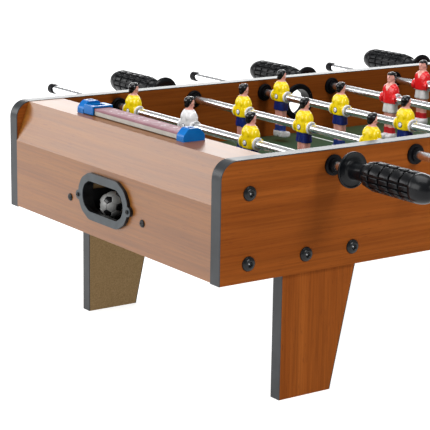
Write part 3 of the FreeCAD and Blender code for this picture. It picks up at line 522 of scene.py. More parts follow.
def turned(outline, steps=32):
    """Points and faces of an outline of (radius, height) in millimetres, spun about Z."""
    points, rings = [], []
    for radius, height in outline:
        if radius == 0:
            rings.append([len(points)] * steps)
            points.append((0, 0, height * MM))
            continue
        rings.append(list(range(len(points), len(points) + steps)))
        for step in range(steps):
            angle = 2 * math.pi * step / steps
            points.append((radius * MM * math.cos(angle), radius * MM * math.sin(angle), height * MM))
    faces = []
    for below, above in zip(rings[:-1], rings[1:]):
        for step in range(steps):
            following = (step + 1) % steps
            corners = [below[step], below[following], above[following], above[step]]
            face = tuple(dict.fromkeys(corners))
            if len(face) > 2:
                faces.append(face)
    return np.array(points), faces


def joined(*parts):
    """One set of points and faces from several."""
    points, faces = [], []
    for part_points, part_faces in parts:
        faces += [tuple(index + len(points) for index in face) for face in part_faces]
        points += list(part_points)
    return np.array(points), faces


def placed(part, turn=None, at=(0, 0, 0)):
    """A part turned by a 3x3 matrix and moved, with its faces kept pointing out."""
    points, faces = part
    matrix = np.eye(3) if turn is None else np.array(turn, dtype=float)
    moved = points @ matrix.T + np.array(at)
    if np.linalg.det(matrix) < 0:
        faces = [tuple(reversed(face)) for face in faces]
    return moved, faces


def numbers_of(mesh):
    """Points and faces of a Blender mesh."""
    points = np.empty(len(mesh.vertices) * 3)
    mesh.vertices.foreach_get("co", points)
    return points.reshape(-1, 3), [tuple(face.vertices) for face in mesh.polygons]


def evaluated(thing):
    """The plain mesh that an object's modifiers give; the object is then removed."""
    bpy.context.view_layer.update()
    graph = bpy.context.evaluated_depsgraph_get()
    mesh = bpy.data.meshes.new_from_object(thing.evaluated_get(graph))
    bpy.data.objects.remove(thing)
    return mesh


def facing(outwards):
    """A matrix that turns Z to one of the axes; X stays level."""
    up = Vector(outwards)
    level = Vector((0, 0, 1)).cross(up)
    level = level.normalized() if level.length > 0.1 else Vector((1, 0, 0))
    return np.array([level, up.cross(level), up]).T


# %% [markdown]
# ## Bolts and screws
# The cabinet is held by black dome-headed bolts with a dished socket, and by small cross-head screws. One
# fastener of each kind is turned and then copied by Geometry Nodes: every vertex of a small mesh of places
# carries the direction it faces, the tree stands a fastener on it, and gives each a random turn from a fixed
# seed, because nobody lines up the slots of screws.

# %% A Geometry Nodes tree that stands fasteners on points
class Recipe(NodeTree):
    """A Geometry Nodes tree under construction, with named inputs."""

    def __init__(self, name, inputs):
        self.tree = bpy.data.node_groups.new(name, "GeometryNodeTree")
        self.sockets = {}
        self.tree.interface.new_socket("Geometry", in_out="INPUT", socket_type="NodeSocketGeometry")
        for label, (kind, value) in inputs.items():
            socket = self.tree.interface.new_socket(label, in_out="INPUT", socket_type="NodeSocket" + kind)
            if value is not None:
                socket.default_value = value
            self.sockets[label] = socket.identifier
        self.tree.interface.new_socket("Geometry", in_out="OUTPUT", socket_type="NodeSocketGeometry")
        self.given = self.tree.nodes.new("NodeGroupInput").outputs

    def finish(self, geometry, material):
        solid = self.add("GeometryNodeRealizeInstances", {"Geometry": geometry}).outputs[0]
        coated = self.add("GeometryNodeSetMaterial", {"Geometry": solid, "Material": material}).outputs[0]
        self.add("NodeGroupOutput", {"Geometry": coated})

    def run(self, carrier, values):
        """Runs the tree on a carrier object and returns the plain mesh."""
        modifier = carrier.modifiers.new(self.tree.name, "NODES")
        modifier.node_group = self.tree
        for label, value in values.items():
            modifier[self.sockets[label]] = value
        return evaluated(carrier)


fasten = Recipe("stand_fasteners", {
    "Fastener": ("Object", None), "Seed": ("Int", 1), "Finish": ("Material", None)})
out_way = fasten.add("GeometryNodeInputNamedAttribute", {"Name": "out_way"}, data_type="FLOAT_VECTOR")
upright = fasten.add("FunctionNodeAlignRotationToVector", {"Vector": out_way.outputs["Attribute"]}, axis="Z")
chance = fasten.add("FunctionNodeRandomValue", {"Seed": fasten.given["Seed"]}, data_type="FLOAT")
chance.inputs[2].default_value, chance.inputs[3].default_value = 0.0, math.pi
spin = fasten.add("FunctionNodeAxisAngleToRotation", {"Angle": chance.outputs[1]})
standing = fasten.add("FunctionNodeRotateRotation", {
    "Rotation": upright.outputs[0], "Rotate By": spin.outputs[0]}, rotation_space="LOCAL")
original = fasten.add("GeometryNodeObjectInfo", {"Object": fasten.given["Fastener"]})
copies = fasten.add("GeometryNodeInstanceOnPoints", {
    "Points": fasten.given["Geometry"], "Instance": original.outputs["Geometry"],
    "Rotation": standing.outputs[0]})
fasten.finish(copies.outputs[0], fasten.given["Finish"])


def fastener_piece(name, part, bright_radius, places, finish, seed, body, replaced=()):
    """Stands one turned fastener on every place, given as (spot, direction)."""
    points, faces = part
    source = mesh_object(name + "_single", points, faces, [finish])
    worn = source.data.attributes.new("worn", "FLOAT", "POINT")
    worn.data.foreach_set("value", [float(math.hypot(x, y) < bright_radius * MM) for x, y, _ in points])
    carrier = mesh_object(name + "_places", [spot for spot, _ in places], [], [finish])
    out = carrier.data.attributes.new("out_way", "FLOAT_VECTOR", "POINT")
    out.data.foreach_set("vector", [value for _, way in places for value in way])
    mesh = fasten.run(carrier, {"Fastener": source, "Seed": seed, "Finish": finish.material})
    bpy.data.objects.remove(source)
    fitted(stand(name, mesh), body, replaced)


# %% The steel finish, with a painted highlight at the bottom of each bolt's socket
black_steel = Finish("black_steel", sheen=0.25)
steel_grain = black_steel.noise(1400.0, black_steel.place(), detail=2.0)
steel_tone = black_steel.ramp(steel_grain, (0.3, (0.003, 0.004, 0.005)), (0.7, (0.008, 0.009, 0.010)))
# the light grey at the centre of a bolt's socket is a painted highlight
black_steel.color(black_steel.blend(black_steel.worn(), steel_tone, (0.62, 0.64, 0.66)))
black_steel.rough(steel_grain, 0.24, 0.34)
black_steel.bump(steel_grain, 0.10, 0.0001)


# %% Bolts
BOLT_HEAD_HIGH, GLINT_IN_SOCKET = 3.2, 0.7
DOME_BOLT = [
    (0, -23), (2.5, -23), (3, -22.2), (3, 0), (6.5, 0), (6.5, 0.45), (6.3, 1.1), (5.7, 1.9), (4.8, 2.6),
    (3.8, 3.05), (3.0, 3.2), (2.6, 3.1), (2.25, 2.7), (2.05, 1.3), (0.75, 1.15), (0.55, 1.5), (0.3, 1.75),
    (0, 1.8)]


def seats(node, axis, head_high):
    """Seats and outward directions of the fasteners that face out along one axis."""
    places = []
    for low, high in solids_of(node):
        side = 1.0 if high[axis] > 0 else -1.0
        spot, way = (low + high) / 2, np.zeros(3)
        spot[axis] = side * (max(abs(low[axis]), abs(high[axis])) - head_high * MM)
        way[axis] = side
        places.append((spot, way))
    return places


for seed, node in enumerate(("corner_bolts", "leg_bolts"), start=3):
    fastener_piece("dome_" + node, turned(DOME_BOLT, 36), GLINT_IN_SOCKET,
                   seats(node, ACROSS, BOLT_HEAD_HIGH), black_steel, seed, "root", [node])


# %% Cross-head screws
def cross_screw(shank, head, high, long):
    """A pan-head screw with a cross cut into its crown."""
    outline = [(0, -long), (shank * 0.5, -long + shank), (shank * 0.5, 0), (head * 0.5, 0),
               (head * 0.5, high * 0.35), (head * 0.46, high * 0.65), (head * 0.36, high * 0.9),
               (head * 0.2, high), (0, high)]
    screw_mesh = mesh_object("screw_blank", *turned(outline, 28), [])
    arm, deep, slim = head * 0.31 * MM, high * 0.62 * MM, head * 0.055 * MM
    for index, (across, along) in enumerate(((arm, slim), (slim, arm))):
        corners = [(x * across, y * along, z) for z in (high * MM - deep, high * MM + deep)
                   for x, y in ((-1, -1), (1, -1), (1, 1), (-1, 1))]
        cutter = mesh_object(f"cross_cutter_{index}", corners, [
            (3, 2, 1, 0), (4, 5, 6, 7), (0, 1, 5, 4), (1, 2, 6, 5), (2, 3, 7, 6), (3, 0, 4, 7)], [])
        cut = screw_mesh.modifiers.new("cross", "BOOLEAN")
        cut.object = cutter
        cut.operation = "DIFFERENCE"
        cut.solver = "EXACT"
    part = numbers_of(evaluated(screw_mesh))
    for index in range(2):
        bpy.data.objects.remove(bpy.data.objects[f"cross_cutter_{index}"])
    return part


SCREW_HEAD_HIGH = 1.6
SCREWS = {"panel_screws": (ALONG, 3.5, 7, 20), "cup_screws": (ALONG, 2.4, 4, 9),
          "score_screws": (UPRIGHT, 3, 6, 14)}
for seed, (node, (axis, shank, head, long)) in enumerate(SCREWS.items(), start=5):
    fastener_piece("cross_" + node, cross_screw(shank, head, SCREW_HEAD_HIGH, long), 0,
                   seats(node, axis, SCREW_HEAD_HIGH), black_steel, seed, "root", [node])

# %% [markdown]
# ## Ribbed grips
# A grip is moulded in one piece: a thin flange that keeps the fingers off the wall, a waist, and a barrel
# covered with raised pads. The core is turned. The pads are a true pattern, rows round the barrel and bands
# along it, so Geometry Nodes set them out; two opposite rows are wide and the rows between them are narrow.
# After the copies are made real, the tree pulls the first band in, to follow the barrel's shoulder.

# %% The pad pattern
GRIP_LOW, GRIP_HIGH = [corner / MM for corner in box_of("rod_1_handle")]
GRIP_LONG = GRIP_HIGH[1] - GRIP_LOW[1]
FLANGE_RADIUS = (GRIP_HIGH[0] - GRIP_LOW[0]) / 2
ROD_RADIUS = (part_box("rod_1_tube")[1][0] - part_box("rod_1_tube")[0][0]) / 2 / MM
BARREL_RADIUS, PAD_RISE, GROOVE = 12.75, 1.6, 1.6
BANDS, BAND_PITCH, BARREL_START = 5, 12.4, 23.4
SHOULDER_LONG, SHOULDER_SHARE = 4.5, 0.84
WIDE_PAD, NARROW_PAD = 60, 24

pads = Recipe("grip_pads", {
    "Pad": ("Object", None), "Rows": ("Int", 5), "First angle": ("Float", 0.0),
    "Angle step": ("Float", 0.4), "Finish": ("Material", None)})
order = pads.add("GeometryNodeInputIndex").outputs[0]
row = pads.math("MODULO", order, pads.given["Rows"])
band = pads.math("FLOOR", pads.math("DIVIDE", order, pads.given["Rows"]))
along = pads.math("ADD", BARREL_START * MM, pads.math("MULTIPLY", band, BAND_PITCH * MM))
angle = pads.math("ADD", pads.given["First angle"], pads.math("MULTIPLY", row, pads.given["Angle step"]))
spots = pads.add("GeometryNodePoints", {
    "Count": pads.math("MULTIPLY", pads.given["Rows"], BANDS),
    "Position": pads.add("ShaderNodeCombineXYZ", {"Z": along}).outputs[0]})
turning = pads.add("ShaderNodeCombineXYZ", {"Z": angle}).outputs[0]
one_pad = pads.add("GeometryNodeObjectInfo", {"Object": pads.given["Pad"]})
set_out = pads.add("GeometryNodeInstanceOnPoints", {
    "Points": spots.outputs[0], "Instance": one_pad.outputs["Geometry"],
    "Rotation": pads.add("FunctionNodeEulerToRotation", {"Euler": turning}).outputs[0]})
real = pads.add("GeometryNodeRealizeInstances", {"Geometry": set_out.outputs[0]})
place_now = pads.add("GeometryNodeInputPosition").outputs[0]
parts_now = pads.add("ShaderNodeSeparateXYZ", {"Vector": place_now})
pull = pads.between(parts_now.outputs["Z"], BARREL_START * MM, (BARREL_START + SHOULDER_LONG) * MM,
                    SHOULDER_SHARE, 1.0, interpolation_type="SMOOTHSTEP")
pulled = pads.add("ShaderNodeCombineXYZ", {
    "X": pads.math("MULTIPLY", parts_now.outputs["X"], pull),
    "Y": pads.math("MULTIPLY", parts_now.outputs["Y"], pull), "Z": parts_now.outputs["Z"]}).outputs[0]
shaped = pads.add("GeometryNodeSetPosition", {"Geometry": real.outputs[0], "Position": pulled})
pads.finish(shaped.outputs[0], pads.given["Finish"])


# %% One pad, bent round the barrel
def pad_blank(name, degrees):
    """A slab with bevelled edges, bent round Z at the barrel's radius."""
    core = BARREL_RADIUS - PAD_RISE
    wide = math.radians(degrees) * BARREL_RADIUS - GROOVE
    work = bmesh.new()
    bmesh.ops.create_cube(work, size=1.0)
    long_edges = [edge for edge in work.edges if abs(edge.verts[0].co.y - edge.verts[1].co.y) > 0.5]
    bmesh.ops.subdivide_edges(work, edges=long_edges, cuts=max(1, round(degrees / 12)))
    for vertex in work.verts:
        vertex.co = Vector(((vertex.co.x + 0.5) * (PAD_RISE + 0.8), vertex.co.y * wide,
                            (vertex.co.z + 0.5) * (BAND_PITCH - GROOVE)))
    rim = [edge for edge in work.edges if all(vertex.co.x > PAD_RISE for vertex in edge.verts)
           and any(len({round(vertex.co[axis], 4) for vertex in face.verts}) == 1
                   for face in edge.link_faces for axis in (1, 2))]
    bmesh.ops.bevel(work, geom=rim, offset=0.8, segments=3, profile=0.55, affect="EDGES")
    for vertex in work.verts:
        radius, angle = core - 0.8 + vertex.co.x, vertex.co.y / BARREL_RADIUS
        vertex.co = Vector((radius * math.cos(angle), radius * math.sin(angle), vertex.co.z)) * MM
    bmesh.ops.recalc_face_normals(work, faces=work.faces)
    mesh = bpy.data.meshes.new(name)
    work.to_mesh(mesh)
    work.free()
    return stand(name, mesh)


def pad_rows(degrees, rows, first, step):
    """The pads of some rows, on all the bands."""
    blank = pad_blank("pad_blank", degrees)
    carrier = mesh_object("pad_carrier", [(0, 0, 0)], [], [grip_black])
    mesh = pads.run(carrier, {
        "Pad": blank, "Rows": rows, "First angle": math.radians(first), "Angle step": math.radians(step),
        "Finish": grip_black.material})
    bpy.data.objects.remove(blank)
    return numbers_of(mesh)


# %% Core and pads together
CORE = BARREL_RADIUS - PAD_RISE
DOME_START = BARREL_START + BANDS * BAND_PITCH - GROOVE
DOME_LONG = GRIP_LONG - DOME_START
grip_outline = [
    (ROD_RADIUS + 0.02, 0.4), (ROD_RADIUS + 0.5, 0), (FLANGE_RADIUS - 0.8, 0), (FLANGE_RADIUS, 0.6),
    (FLANGE_RADIUS, 1.9), (FLANGE_RADIUS - 0.35, 2.35), (FLANGE_RADIUS - 0.9, 2.4),
    (FLANGE_RADIUS - 1.4, 2.0), (FLANGE_RADIUS - 2.2, 1.8), (9.4, 2.2), (8.0, 2.9), (7.5, 4.2),
    (7.3, 8.0), (7.3, 13.0), (7.6, 18.0),
    (8.4, 21.6), (CORE * SHOULDER_SHARE, BARREL_START - 0.3)]
for step in range(1, 7):
    share = step / 6
    smooth_share = share * share * (3 - 2 * share)
    radius = CORE * (SHOULDER_SHARE + (1 - SHOULDER_SHARE) * smooth_share)
    grip_outline.append((radius, BARREL_START + SHOULDER_LONG * share))
grip_outline += [(CORE, DOME_START - 0.2), (CORE + PAD_RISE * 0.7, DOME_START),
                 (BARREL_RADIUS, DOME_START + 0.6)]
for step in range(1, 13):
    angle = math.pi / 2 * step / 12
    grip_outline.append((BARREL_RADIUS * math.cos(angle) ** 0.8 if step < 12 else 0,
                         DOME_START + 0.6 + (DOME_LONG - 0.6) * math.sin(angle)))
NARROW_ROWS, FIRST_WIDE = 5, 48
grip = joined(
    turned(grip_outline, 60),
    pad_rows(WIDE_PAD, 2, FIRST_WIDE, 180),
    pad_rows(NARROW_PAD, NARROW_ROWS, FIRST_WIDE + 42, NARROW_PAD),
    pad_rows(NARROW_PAD, NARROW_ROWS, FIRST_WIDE + 222, NARROW_PAD))
for rod in RODS:
    low, high = box_of(rod + "_handle")
    side = 1 if low[1] + high[1] > 0 else -1
    middle = (low + high) / 2
    inner = low[1] if side > 0 else high[1]
    # local X is up, local Y points to the side where the first wide row leans, Z runs outwards
    turn = np.array([(0, side, 0), (0, 0, side), (1, 0, 0)])
    points, faces = placed(grip, turn, (middle[0], inner, middle[2]))
    fitted(mesh_object(rod + "_grip", points, faces, [grip_black]), rod, [rod + "_handle"])

# %% [markdown]
# ## The men
# The players are cast in one piece with a hub that the rod passes through, then painted. A figure like this
# is soft and rounded, so it is built the way one models clay: overlapping lumps for trunk, head, hair, shoes
# and sleeves, melted into one skin by a voxel remesh and smoothed. The paint isn't cut into the mesh. Each
# point keeps its own place on the figure, in millimetres from the rod's axis, as an attribute, and the paint
# is chosen from that place in the shader, with a slight waver where a brush met an edge.

# %% Lumps of clay
def lump(middle, radii, squareness=1.0, rings=20, steps=28):
    """A closed rounded form; a squareness under 1 pushes it towards a box."""
    def bulge(value):
        return math.copysign(abs(value) ** squareness, value)
    outline = []
    for ring in range(rings + 1):
        angle = math.pi * (ring / rings - 0.5)
        outline.append((bulge(math.cos(angle)) if 0 < ring < rings else 0, bulge(math.sin(angle))))
    points, faces = turned(outline, steps)
    points = points / MM
    round_about = np.arctan2(points[:, 1], points[:, 0])
    reach = np.hypot(points[:, 0], points[:, 1])
    shaped = np.stack([reach * [bulge(math.cos(angle)) for angle in round_about],
                       reach * [bulge(math.sin(angle)) for angle in round_about], points[:, 2]], axis=1)
    return shaped * np.array(radii) + np.array(middle), faces


def trunk_column(levels, steps=48):
    """A closed column from levels of (height, half width, front, back, cleft); the cleft parts the legs."""
    points, faces = [], []
    for height, half, front, back, cleft in levels:
        for step in range(steps):
            angle = 2 * math.pi * step / steps
            across, ahead = math.sin(angle), math.cos(angle)
            squared = abs(across) ** 0.8 * math.copysign(1, across)
            depth = (front if ahead > 0 else back) * abs(ahead) ** 0.72
            depth *= 1 - cleft * math.exp(-(squared * half / 1.5) ** 2)
            points.append((depth, squared * half, height))
    count = len(levels)
    for level in range(count - 1):
        for step in range(steps):
            following = (step + 1) % steps
            faces.append((level * steps + step, (level + 1) * steps + step,
                          (level + 1) * steps + following, level * steps + following))
    faces.append(tuple(range(steps)))
    faces.append(tuple(reversed(range((count - 1) * steps, count * steps))))
    return np.array(points), faces


# %% One player, facing +X, in millimetres from the rod's axis
TRUNK = [
    (21.0, 2.7, 2.8, -3.1, 0), (17.6, 3.0, 2.9, -3.2, 0), (16.2, 4.2, 3.4, -3.9, 0),
    (15.2, 6.0, 4.0, -4.6, 0),
    (13.6, 7.6, 4.8, -5.4, 0), (11.0, 8.6, 5.5, -6.0, 0), (7.5, 9.1, 6.0, -6.5, 0), (3.0, 9.1, 6.3, -6.9, 0),
    (-1.0, 9.0, 6.3, -6.9, 0), (-4.0, 8.8, 6.2, -6.7, 0), (-4.9, 8.6, 6.0, -6.4, 0),
    (-5.2, 8.0, 5.3, -5.5, 0.08),
    (-9.0, 8.5, 5.7, -5.8, 0.16), (-14.2, 9.1, 6.0, -6.0, 0.26), (-14.9, 9.0, 5.8, -5.8, 0.30),
    (-15.2, 7.5, 4.5, -4.6, 0.42), (-22.0, 7.2, 4.3, -4.6, 0.48), (-30.4, 6.6, 3.8, -4.1, 0.50),
    (-30.9, 7.1, 4.2, -4.5, 0.46), (-36.6, 6.9, 4.1, -4.4, 0.46), (-37.6, 7.3, 4.5, -4.6, 0.40),
    (-42.0, 6.6, 4.0, -4.0, 0.30)]
HUB_HALF, HUB_RADIUS, HUB_WELL = 12.0, 6.2, 4.9
lumps = [trunk_column(TRUNK)]
for side in (-1, 1):
    lumps += [
        lump((-0.1, side * 7.5, 7.2), (4.6, 3.2, 7.3)),
        lump((-0.1, side * 8.5, 1.3), (5.2, 2.2, 6.0), 0.9),
        lump((-3.9, side * 3.9, 8.6), (3.1, 3.1, 4.6)),
        lump((3.3, side * 10.3, 2.2), (1.8, 2.6, 1.8)),
        lump((1.9, side * 4.4, -41.2), (6.7, 4.2, 3.3), 0.62),
        lump((-0.8, side * 4.3, -39.0), (4.2, 3.9, 3.2), 0.8),
        lump((0.1, side * 4.2, 21.9), (1.2, 0.7, 1.6)),
    ]
lumps += [
    lump((0.4, 0, 22.7), (4.6, 4.0, 5.3)),
    lump((2.9, 0, 19.2), (2.1, 2.5, 2.2)),
    lump((4.8, 0, 21.9), (1.0, 0.75, 1.35)),
    lump((-0.5, 0, 24.0), (5.2, 4.6, 4.4)),
    lump((-2.3, 0, 20.8), (3.2, 3.5, 3.9)),
    lump((2.2, 0.6, 26.2), (2.6, 3.4, 1.9)),
]
HUB_LIMIT = HUB_HALF - 1.7
SKIN_VOXEL = 0.5
clay_points, clay_faces = joined(*lumps)
clay = mesh_object("player_clay", clay_points * MM, clay_faces, [])
melt = clay.modifiers.new("melt", "REMESH")
melt.mode = "VOXEL"
melt.voxel_size = SKIN_VOXEL * MM
smoothing = clay.modifiers.new("smooth", "SMOOTH")
smoothing.factor, smoothing.iterations = 0.5, 4
player_points, player_faces = numbers_of(evaluated(clay))
hub_ring = [(0, HUB_LIMIT - 2), (HUB_RADIUS - 0.3, HUB_LIMIT - 2), (HUB_RADIUS, HUB_LIMIT - 1.5),
            (HUB_RADIUS, HUB_HALF - 0.35), (HUB_RADIUS - 0.35, HUB_HALF), (HUB_WELL + 0.3, HUB_HALF),
            (HUB_WELL, HUB_HALF - 0.3), (HUB_WELL, HUB_HALF - 1.6), (0, HUB_HALF - 1.6)]
rings = [placed(turned(hub_ring, 40), facing((0, side, 0))) for side in (-1, 1)]
player_part = joined((player_points, player_faces), *rings)
print("one player:", len(player_part[0]), "points")


# %% Paint by place on the figure
BOOT_TOP, SOCK_TOP, SHORTS_HEM, WAIST, NECKLINE, NECK_BASE = -37.2, -30.8, -15.1, -5.0, 9.6, 16.0
SKIN, BOOT_WHITE = (0.78, 0.37, 0.31), (0.74, 0.74, 0.76)
HAIR_BLACK, CAST_GREY = (0.003, 0.003, 0.004), (0.70, 0.71, 0.73)
# eyes, brows and mouth: place, half width and half height, colour
FACE_MARKS = [((5.0, 1.75, 23.1), (0.62, 0.42), (0.035, 0.022, 0.018)),
              ((5.0, 1.8, 24.3), (0.95, 0.24), (0.05, 0.03, 0.025)),
              ((5.0, 0.0, 19.7), (1.1, 0.24), (0.42, 0.12, 0.10))]


def paint(name, shirt, collar, shorts, socks):
    finish = Finish(name, sheen=0.45)
    spot = finish.place(attribute="figure")
    parts = finish.add("ShaderNodeSeparateXYZ", {"Vector": spot})
    ahead, across, up = parts.outputs["X"], parts.outputs["Y"], parts.outputs["Z"]
    wide = finish.math("ABSOLUTE", across)
    waver = finish.math("MULTIPLY", finish.math("SUBTRACT", finish.noise(0.55, spot, detail=1.0), 0.5), 0.9)
    level = finish.math("ADD", up, waver)

    def over(value, limit):
        """1 where a value is over a limit, with a soft edge a tenth of a millimetre wide."""
        return finish.between(finish.math("SUBTRACT", value, limit), -0.08, 0.08)

    def both(*masks):
        return finish.math("MULTIPLY", *masks)

    def squared(value):
        return finish.math("POWER", value, 2.0)

    def near(x, y, z, size):
        """1 within a small spot on the face, on both its sides."""
        squares = [squared(finish.math("SUBTRACT", value, goal))
                   for value, goal in ((ahead, x), (wide, y), (up, z))]
        stretched = finish.math("MULTIPLY", squares[2], (size[0] / size[1]) ** 2)
        reach = finish.math("ADD", finish.math("ADD", finish.math("MULTIPLY", squares[0], 0.05), squares[1]),
                            stretched)
        return both(over(size[0] ** 2, reach), over(ahead, 2.0))

    tone = BOOT_WHITE
    for start, colour in ((BOOT_TOP, socks), (SOCK_TOP, SKIN), (SHORTS_HEM, shorts), (WAIST, shirt)):
        tone = finish.blend(over(level, start), tone, colour)
    neckline = finish.math("ADD", NECKLINE, finish.math("MULTIPLY", wide, 1.7))
    front = over(ahead, 1.2)
    tone = finish.blend(both(front, over(level, finish.math("SUBTRACT", neckline, 1.6))), tone, collar)
    tone = finish.blend(both(front, over(level, neckline)), tone, SKIN)
    tone = finish.blend(over(level, NECK_BASE), tone, SKIN)
    hairline = finish.between(ahead, -3.6, 0.9, 17.9, 25.1)
    for spot_place, size, colour in FACE_MARKS:
        tone = finish.blend(near(*spot_place, size), tone, colour)
    tone = finish.blend(over(level, hairline), tone, HAIR_BLACK)
    hub_gap = finish.math("SQRT", finish.math("ADD", squared(ahead), squared(up)))
    cast = both(both(over(wide, HUB_LIMIT + 0.1), over(HUB_RADIUS + 0.15, hub_gap)),
                finish.math("SUBTRACT", 1.0, over(ahead, 3.4)))
    tone = finish.blend(cast, tone, CAST_GREY)
    mottle = finish.noise(0.35, spot, detail=3.0)
    shade = finish.ramp(mottle, (0.3, (0.86, 0.84, 0.82)), (0.65, (1.0, 1.0, 1.0)))
    finish.color(finish.blend(0.8, tone, shade, "MULTIPLY"))
    brushed = finish.noise(1.6, spot, detail=3.0)
    finish.rough(brushed, 0.11, 0.20)
    finish.bump(brushed, 0.18, 0.0004)
    return finish


YELLOW, RED, WHITE = (0.93, 0.69, 0.004), (0.74, 0.014, 0.018), (0.74, 0.74, 0.75)
NAVY, SOCK_BLUE, SOCK_RED = (0.006, 0.020, 0.150), (0.020, 0.045, 0.24), (0.60, 0.018, 0.025)
kits = {
    "yellow": (paint("kit_yellow", YELLOW, (0.80, 0.42, 0.10), NAVY, SOCK_BLUE),
               paint("kit_yellow_keeper", (0.80, 0.80, 0.82), (0.7, 0.7, 0.72), NAVY, SOCK_BLUE)),
    "red": (paint("kit_red", RED, (0.78, 0.50, 0.42), WHITE, SOCK_RED),
            paint("kit_red_keeper", (0.80, 0.80, 0.82), (0.7, 0.7, 0.72), WHITE, SOCK_RED)),
}

# %% Men on the rods
MAN_SPACING, BACK_OF_MAN, WORN_ON_MAN = 99.5 * MM, 6.85 * MM, 2.2
KEEPER_RODS = {"rod_1", "rod_6"}
# each man's silver screw sits on a dark navy disc: painted shade of the recess round the screw
SCREW_SHADE_DISC = [(0, -1.2), (2.9, -1.2), (2.9, 0.05), (2.75, 0.2), (0, 0.2)]
man_screw = joined(turned(SCREW_SHADE_DISC, 28), placed(cross_screw(1.4, 4.2, 1.0, 1.5), None, (0, 0, -0.1 * MM)))
screw_and_shade_finish = moulded("screw_and_painted_shade", (0.010, 0.014, 0.040), (0.016, 0.022, 0.060), 0.20, sheen=0.5)
screw_and_shade_finish.color(screw_and_shade_finish.blend(screw_and_shade_finish.worn(), screw_and_shade_finish.tone(), (0.82, 0.83, 0.86)))
for number, rod in enumerate(RODS, start=1):
    team, way = ("yellow", 1) if number < 4 else ("red", -1)
    low, high = box_of(rod + "_tube")
    axis_x, _, axis_z = (low + high) / 2
    middle_y = sum(box_of(rod + "_men"))[1] / 2
    turn = np.diag([way, way, 1])
    figures, marks, tones, places = [], [], [], []
    for spot in (-1, 0, 1):
        at = (axis_x, middle_y + spot * MAN_SPACING, axis_z)
        figures.append(placed(player_part, turn, at))
        marks.append(player_part[0] / MM)
        keeper = rod in KEEPER_RODS and spot == 0
        tones += [int(keeper)] * len(player_part[1])
        places.append(((at[0] - way * BACK_OF_MAN, at[1], at[2]), (-way, 0.0, 0.0)))
    points, faces = joined(*figures)
    men = mesh_object(rod + "_players", points, faces, kits[team], face_finish=tones)
    figure = men.data.attributes.new("figure", "FLOAT_VECTOR", "POINT")
    figure.data.foreach_set("vector", np.concatenate(marks).ravel())
    fitted(men, rod, [rod + "_men"])
    fastener_piece(rod + "_player_screws", man_screw, WORN_ON_MAN, places, screw_and_shade_finish, number, rod)

# %% [markdown]
# ## The ball
# A small football is moulded as a ball of twelve black pentagons and twenty white hexagons. That solid is an
# icosahedron with its corners cut back by a third of each edge. Every panel is then set in a little, so that
# the seam around it can be sunk, and the whole is divided and pushed out to the sphere.

# %% Pentagons, hexagons and seams
BALL_SEAM, BALL_SEAM_DEPTH = 0.022, 0.022
ROLL_X, ROLL_Y, ROLL_Z = 0.5, 0.35, 0.8
ball_low, ball_high = box_of("game_ball")
ball_middle, ball_radius = (ball_low + ball_high) / 2, min(ball_high - ball_low) / 2
work = bmesh.new()
bmesh.ops.create_icosphere(work, subdivisions=1, radius=1.0)
edge_long = next(iter(work.edges)).calc_length()
bmesh.ops.bevel(work, geom=list(work.verts), offset=edge_long / 3, offset_type="OFFSET", segments=1,
                affect="VERTICES")
seam_depth = work.verts.layers.float.new("seam")
for vertex in work.verts:
    vertex[seam_depth] = 1.0
panels = list(work.faces)
bmesh.ops.inset_individual(work, faces=panels, thickness=BALL_SEAM)
for face in panels:
    face.material_index = int(len(face.verts) == 5)
    for vertex in face.verts:
        vertex[seam_depth] = 0.0
    for edge in face.edges:
        for border in edge.link_faces:
            border.material_index = face.material_index
bmesh.ops.poke(work, faces=panels)
bmesh.ops.subdivide_edges(work, edges=list(work.edges), cuts=4, use_grid_fill=True)
ball_turn = (Matrix.Rotation(ROLL_X, 3, "X") @ Matrix.Rotation(ROLL_Y, 3, "Y")
             @ Matrix.Rotation(ROLL_Z, 3, "Z"))
for vertex in work.verts:
    reach = ball_radius * (1 - BALL_SEAM_DEPTH * vertex[seam_depth])
    vertex.co = ball_turn @ vertex.co.normalized() * reach + Vector(ball_middle)
ball_mesh = bpy.data.meshes.new("football")
work.to_mesh(ball_mesh)
work.free()
# the white panels are a mid grey: painted shade of the cup the ball lies in
ball_shaded_white = moulded("ball_shaded_white", (0.34, 0.34, 0.33), (0.42, 0.42, 0.41), 0.18, sheen=0.4)
ball_black = moulded("ball_black", (0.006, 0.006, 0.007), (0.010, 0.010, 0.011), 0.20, sheen=0.4)
panel_colours = [face.material_index for face in ball_mesh.polygons]
football = mesh_object("football_panels", *numbers_of(ball_mesh), [ball_shaded_white, ball_black],
                       face_finish=panel_colours)
print("black panels:", panel_colours.count(1), "faces of", len(panel_colours))
fitted(football, "ball", ["game_ball"])

# %% [markdown]
# ## The scorers
# A scorer is a pale extruded bar under a mauve cap. The cap is printed with the count from nought to ten,
# read by a person who stands at that end. The two sections are drawn once and run along the bar. The
# numerals are text turned into a mesh, and the ticks between them are a row of small bars set out by Geometry
# Nodes.

# %% The bar, its cap and its numerals
COUNTS, CAP_THICK, CAP_INSET, PRINT_HIGH = 11, 2.4, 0.25, 0.03
CAP_SOFT, SOFT_SHARE, TICK_SHARE, TICK_HALF, NUMERAL_SHARE = 0.9, 0.3, 0.6, 0.25, 1.35
bar_cream = moulded("bar_cream", (0.40, 0.385, 0.35), (0.47, 0.45, 0.41), 0.40)
strip_mauve = moulded("strip_mauve", (0.24, 0.120, 0.145), (0.29, 0.155, 0.180), 0.50)
print_white = moulded("print_white", (0.44, 0.38, 0.39), (0.52, 0.46, 0.47), 0.50)

